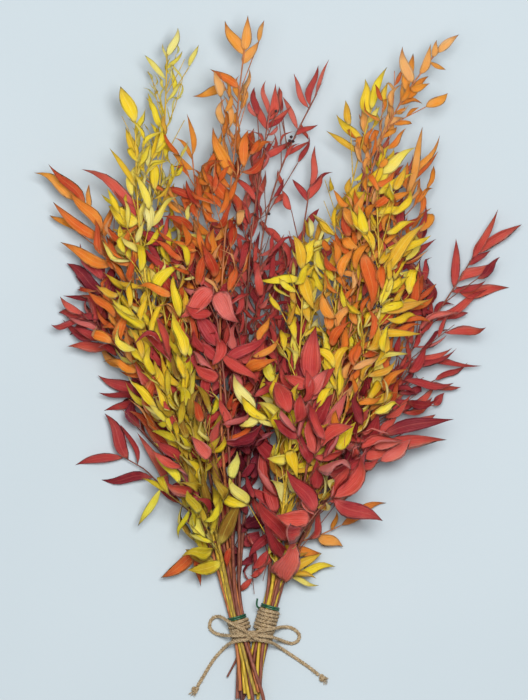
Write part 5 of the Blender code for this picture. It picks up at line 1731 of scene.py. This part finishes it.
@dataclass
class Bow:
    """The ties, the wraps, the binding and its bow."""

    spinner: Spinner
    palette: Palette

    def ring_point(self, stems: Sequence[Stem], at: float, out: float, angle: float) -> Vector:
        """A point round held stems, in a slice square to their half bunch, or to Y for all.

        Args:
            stems: the stems.
            at: where the slice lies, up the bunch.
            out: how far the point is from the outermost stem's middle.
            angle: the way round, 0 towards +X.

        Returns:
            The point, in planned millimetres.
        """
        side = stems[0].side
        if stems is STEMS:
            across = Vector((1, 0, 0))
            middle = Vector((0, at, 0))
            centres = [held_place(stem, at) for stem in stems]
        else:
            ahead = Vector((side * math.sin(LEAN), math.cos(LEAN), 0))
            across = Vector((math.cos(LEAN), -side * math.sin(LEAN), 0))
            middle = Vector((side * HALF_BUNCH_X, 0, 0)) + at * ahead
            centres = [(stem.place, LOWEST_ROW_Z + stem.row * ROW) for stem in stems]
        way = (math.cos(angle), math.sin(angle))
        place, height = max(centres, key=lambda centre: centre[0] * way[0] + centre[1] * way[1])
        return middle + (place + out * way[0]) * across + Vector((0, 0, height + out * way[1]))

    def winding(self, stems: Sequence[Stem], start: float, turns: int, thick: float = TWINE,
                out: float = TWINE_OUT) -> list[Vector]:
        """The way of a twine or wire wound in touching turns, each crossing to the next below."""
        points = []
        for turn in range(turns):
            for n in range(TURN_STEPS):
                share = n / TURN_STEPS
                angle = math.radians(-95) + 2 * math.pi * share
                step = smoothstep((share - 0.8) / 0.2) if turn < turns - 1 else 0.0
                at = start + thick * (turn + 0.5 + step)
                points.append(self.ring_point(stems, at, out, angle))
        return even_points(points, STRAND_STEP)

    def wrap_pieces(self) -> None:
        """The wraps and green ties of both half bunches, and the binding with its knot."""
        for hand, stems in HALVES.items():
            start, turns = WRAPS[hand]
            way = self.winding(stems, start - TWINE, turns + 1)
            self.twine(f"wrap_{hand}_strands", self.spinner.strands(way), f"twine_wrap_{hand}")
            wire = self.winding(stems, start + turns * TWINE + GAP, 2, TIE_WIRE, TIE_OUT)
            lines = [(wire, [TIE_WIRE / 2] * len(wire))]
            if hand == "right":
                end = even_points([Vector(point) for point in CUT_END], STRAND_STEP)
                lines.append((end, [TIE_WIRE / 2] * len(end)))
            tie = self.spinner.lines(f"tie_{hand}", lines, self.palette.tie, 2)
            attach(tie, "root")
            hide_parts(f"green_tie_{hand}")
        lines = self.spinner.strands(self.winding(STEMS, *BINDING, TWINE * PRESSED))
        for crossing in KNOT_CROSSINGS:
            lines += self.spinner.strands(smooth_route(crossing))
        self.twine("binding_strands", lines, "twine_binding")

    def twine(self, name: str, lines: list[tuple], node: str) -> Piece:
        """A piece of twine that stands for a node."""
        piece = self.spinner.lines(name, lines, self.palette.twine)
        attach(piece, "root")
        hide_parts(node)
        return piece

    def cords(self) -> None:
        """The bow's loops and tails, with the knots at the tails' ends."""
        for hand in HALVES:
            for kind, routes in (("loop", LOOPS), ("tail", TAILS)):
                path = smooth_route(routes[hand])
                piece = self.twine(f"{kind}_{hand}_strands", self.spinner.strands(path),
                                   f"twine_{kind}_{hand}")
                knots = [self.tail_knot(hand)] if kind == "tail" else []
                places = [self.spinner.ground.point(point) for point in path[::3]]

    def fuzz(self) -> None:
        """Short fibres that stand out of the twine, all in one piece."""
        draw = random.Random("fuzz")
        routes = [routes[hand] for routes in (LOOPS, TAILS) for hand in HALVES]
        stretches = [smooth_route(route) for route in (*routes, *KNOT_CROSSINGS)]
        stretches.append(self.winding(STEMS, *BINDING))
        stretches += [self.winding(stems, *WRAPS[hand]) for hand, stems in HALVES.items()]
        hairs = []
        for path in stretches:
            for _ in range(len(path) // HAIR_EVERY):
                k = draw.randrange(1, len(path) - 1)
                ahead = ahead_at(path, k)
                way = turned(ahead.orthogonal().normalized(), draw.uniform(0, 6.3), ahead)
                start = path[k] + 1.2 * way
                bent = start + draw.uniform(0.7, 1.5) * way + draw.uniform(-1.2, 1.2) * ahead
                end = bent + draw.uniform(0.2, 1.2) * way + draw.uniform(-1.6, 1.6) * ahead
                if min(bent.z, end.z) > 0.2:
                    hairs.append(([start, bent, end], HAIR_RADII))
        piece = self.spinner.lines("twine_fuzz", hairs, self.palette.twine, 0)
        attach(piece, "root")

    def tail_knot(self, hand: str) -> Piece:
        """An overhand knot at a tail's end, with its frayed fibres."""
        x, y = TAIL_KNOTS[hand]
        wide, deep, tall = TAIL_KNOT_HALF
        turn = math.atan2(y - TAILS[hand][-1][1], x - TAILS[hand][-1][0])
        points = []
        for n in range(64):
            t = 2 * math.pi * n / 64
            a = (math.sin(t) + 2 * math.sin(2 * t)) / 3 * (wide - 1.5)
            b = (math.cos(t) - 2 * math.cos(2 * t)) / 3 * (deep - 1.2)
            points.append(Vector((x + a * math.cos(turn) - b * math.sin(turn),
                                  y + a * math.sin(turn) + b * math.cos(turn),
                                  tall + 0.1 - math.sin(3 * t) * (tall - 1.9))))
        way = even_points([*points, points[0]], STRAND_STEP)
        lines = self.spinner.strands(way, TWINE * TIGHTENED)
        draw = random.Random(f"fray {hand}")
        for _ in range(FRAYED_HAIRS):
            angle = turn + draw.uniform(-0.7, 0.7)
            start = Vector((x, y, draw.uniform(0.8, 4.5)))
            tip = start + Vector((math.cos(angle), math.sin(angle), 0)) * draw.uniform(5.0, 7.8)
            tip.z = draw.uniform(0.3, 3.5)
            hair = even_points([start, tip], 2.0)
            lines.append((hair, [FRAYED_RADIUS] * len(hair)))
        return self.twine(f"knot_{hand}_strands", lines, f"tail_knot_{hand}")


def berry_piece(ground: FrameMap, middles: Sequence[Vector], material: Material) -> Piece:
    """The few dried berries, each a copy of one modelled by hand from a sphere.

    Args:
        ground: the map into the frame.
        middles: where they lie, in planned millimetres.
        material: their material.

    Returns:
        The piece of all berries.
    """
    bpy.ops.mesh.primitive_ico_sphere_add(subdivisions=3, radius=1.0)
    berry = bpy.context.object
    draw = random.Random("berry")
    for vertex in berry.data.vertices:
        vertex.co *= 1 - 0.10 * draw.random() - 0.07 * math.sin(5 * vertex.co.z + 4 * vertex.co.x)
    corners: list[Vector] = []
    faces: list[tuple] = []
    for number, middle in enumerate(middles):
        about_z = random.Random(f"berry {number}").uniform(0, 6.3)
        turn = Matrix.Rotation(about_z, 3, "Z") @ Matrix.Rotation(number, 3, "X")
        faces += [tuple(len(corners) + corner for corner in face.vertices)
                  for face in berry.data.polygons]
        corners += [ground.point(middle + turn @ vertex.co * BERRY_RADIUS)
                    for vertex in berry.data.vertices]
    bpy.data.objects.remove(berry)
    return mesh_piece("berries", corners, faces, material)


@dataclass
class Bunch:
    """The whole bunch, dressed."""

    palette: Palette
    ground: FrameMap

    def build(self) -> None:
        """Makes the cords first, then the foliage."""
        spinner = Spinner(self.ground)
        bow = Bow(spinner, self.palette)
        bow.cords()
        bow.wrap_pieces()
        bow.fuzz()
        gardener = Gardener()
        gardener.grow_more()
        self.dress(gardener.foliage, spinner)

    def dress(self, foliage: Foliage, spinner: Spinner) -> None:
        """Makes the pieces that stand for each stem's solid, and the berries."""
        mould = LeafMould()
        for stem in STEMS:
            pile = LeafPile(mould, self.ground)
            for leaf in foliage.leaves:
                if leaf.stem is stem:
                    pile.add(leaf)
            leaves = pile.build(f"{stem.name}_leaves", self.palette.leaf[stem.dye])
            lines = [stalk_line(axis) for owner, axis in foliage.axes if owner is stem]
            bark = spinner.lines(f"{stem.name}_stalks", lines, self.palette.bark[stem.dye])
            for piece in (leaves, bark):
                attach(piece, "root")
                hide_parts(f"{stem.name}_stem")
                LOG.info("%s: %d faces", piece.name, len(piece.data.polygons))
        berries = berry_piece(self.ground, foliage.berries, self.palette.berry)
        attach(berries, "root")


@dataclass
class Studio:
    """The camera, the light and the surface that the bunch lies on."""

    ground: FrameMap

    def build(self, floor_material: Material) -> None:
        """Makes all three."""
        self.add_camera()
        self.add_floor(floor_material)
        for light in LIGHTS:
            self.add_light(*light)
        bpy.context.scene.view_settings.view_transform = "Standard"
        world = bpy.data.worlds.new("room")
        world.use_nodes = True
        room = world.node_tree.nodes["Background"].inputs
        room["Color"].default_value = (*ROOM_COLOUR, 1)
        room["Strength"].default_value = ROOM_STRENGTH
        bpy.context.scene.world = world

    def add_camera(self) -> None:
        """Looks straight down on the bunch, as the photograph does."""
        data = bpy.data.cameras.new("camera")
        data.sensor_width = SENSOR
        data.lens = SENSOR * CAMERA_DISTANCE / VIEW_HEIGHT
        data.clip_end = 50.0
        camera = linked("camera", data)
        camera.location = self.ground.point((*VIEW_CENTRE, VIEW_LEVEL + CAMERA_DISTANCE))
        bpy.context.scene.camera = camera

    def add_floor(self, material: Material) -> None:
        """A large plain plane under the bunch."""
        bpy.ops.mesh.primitive_plane_add(size=FLOOR_SIZE, location=(0, 0, FLOOR_Z))
        floor = bpy.context.object
        floor.name = "floor"
        floor.data.materials.append(material)

    def add_light(self, name: str, place: tuple, size: float, power: float) -> None:
        """A soft square light that faces the bunch."""
        data = bpy.data.lights.new(name, "AREA")
        data.size = size
        data.energy = power
        light = linked(name, data)
        light.location = place
        light.rotation_euler = (-Vector(place)).to_track_quat("-Z", "Y").to_euler()


def main() -> None:
    """Makes the bunch and the studio."""
    logging.basicConfig(level=logging.INFO, format="%(message)s")
    bpy.ops.object.select_all(action="DESELECT")
    palette = Palette()
    bunch = Bunch(palette, FrameMap())
    Studio(bunch.ground).build(palette.floor)
    bunch.build()


if __name__ == "__main__":
    main()
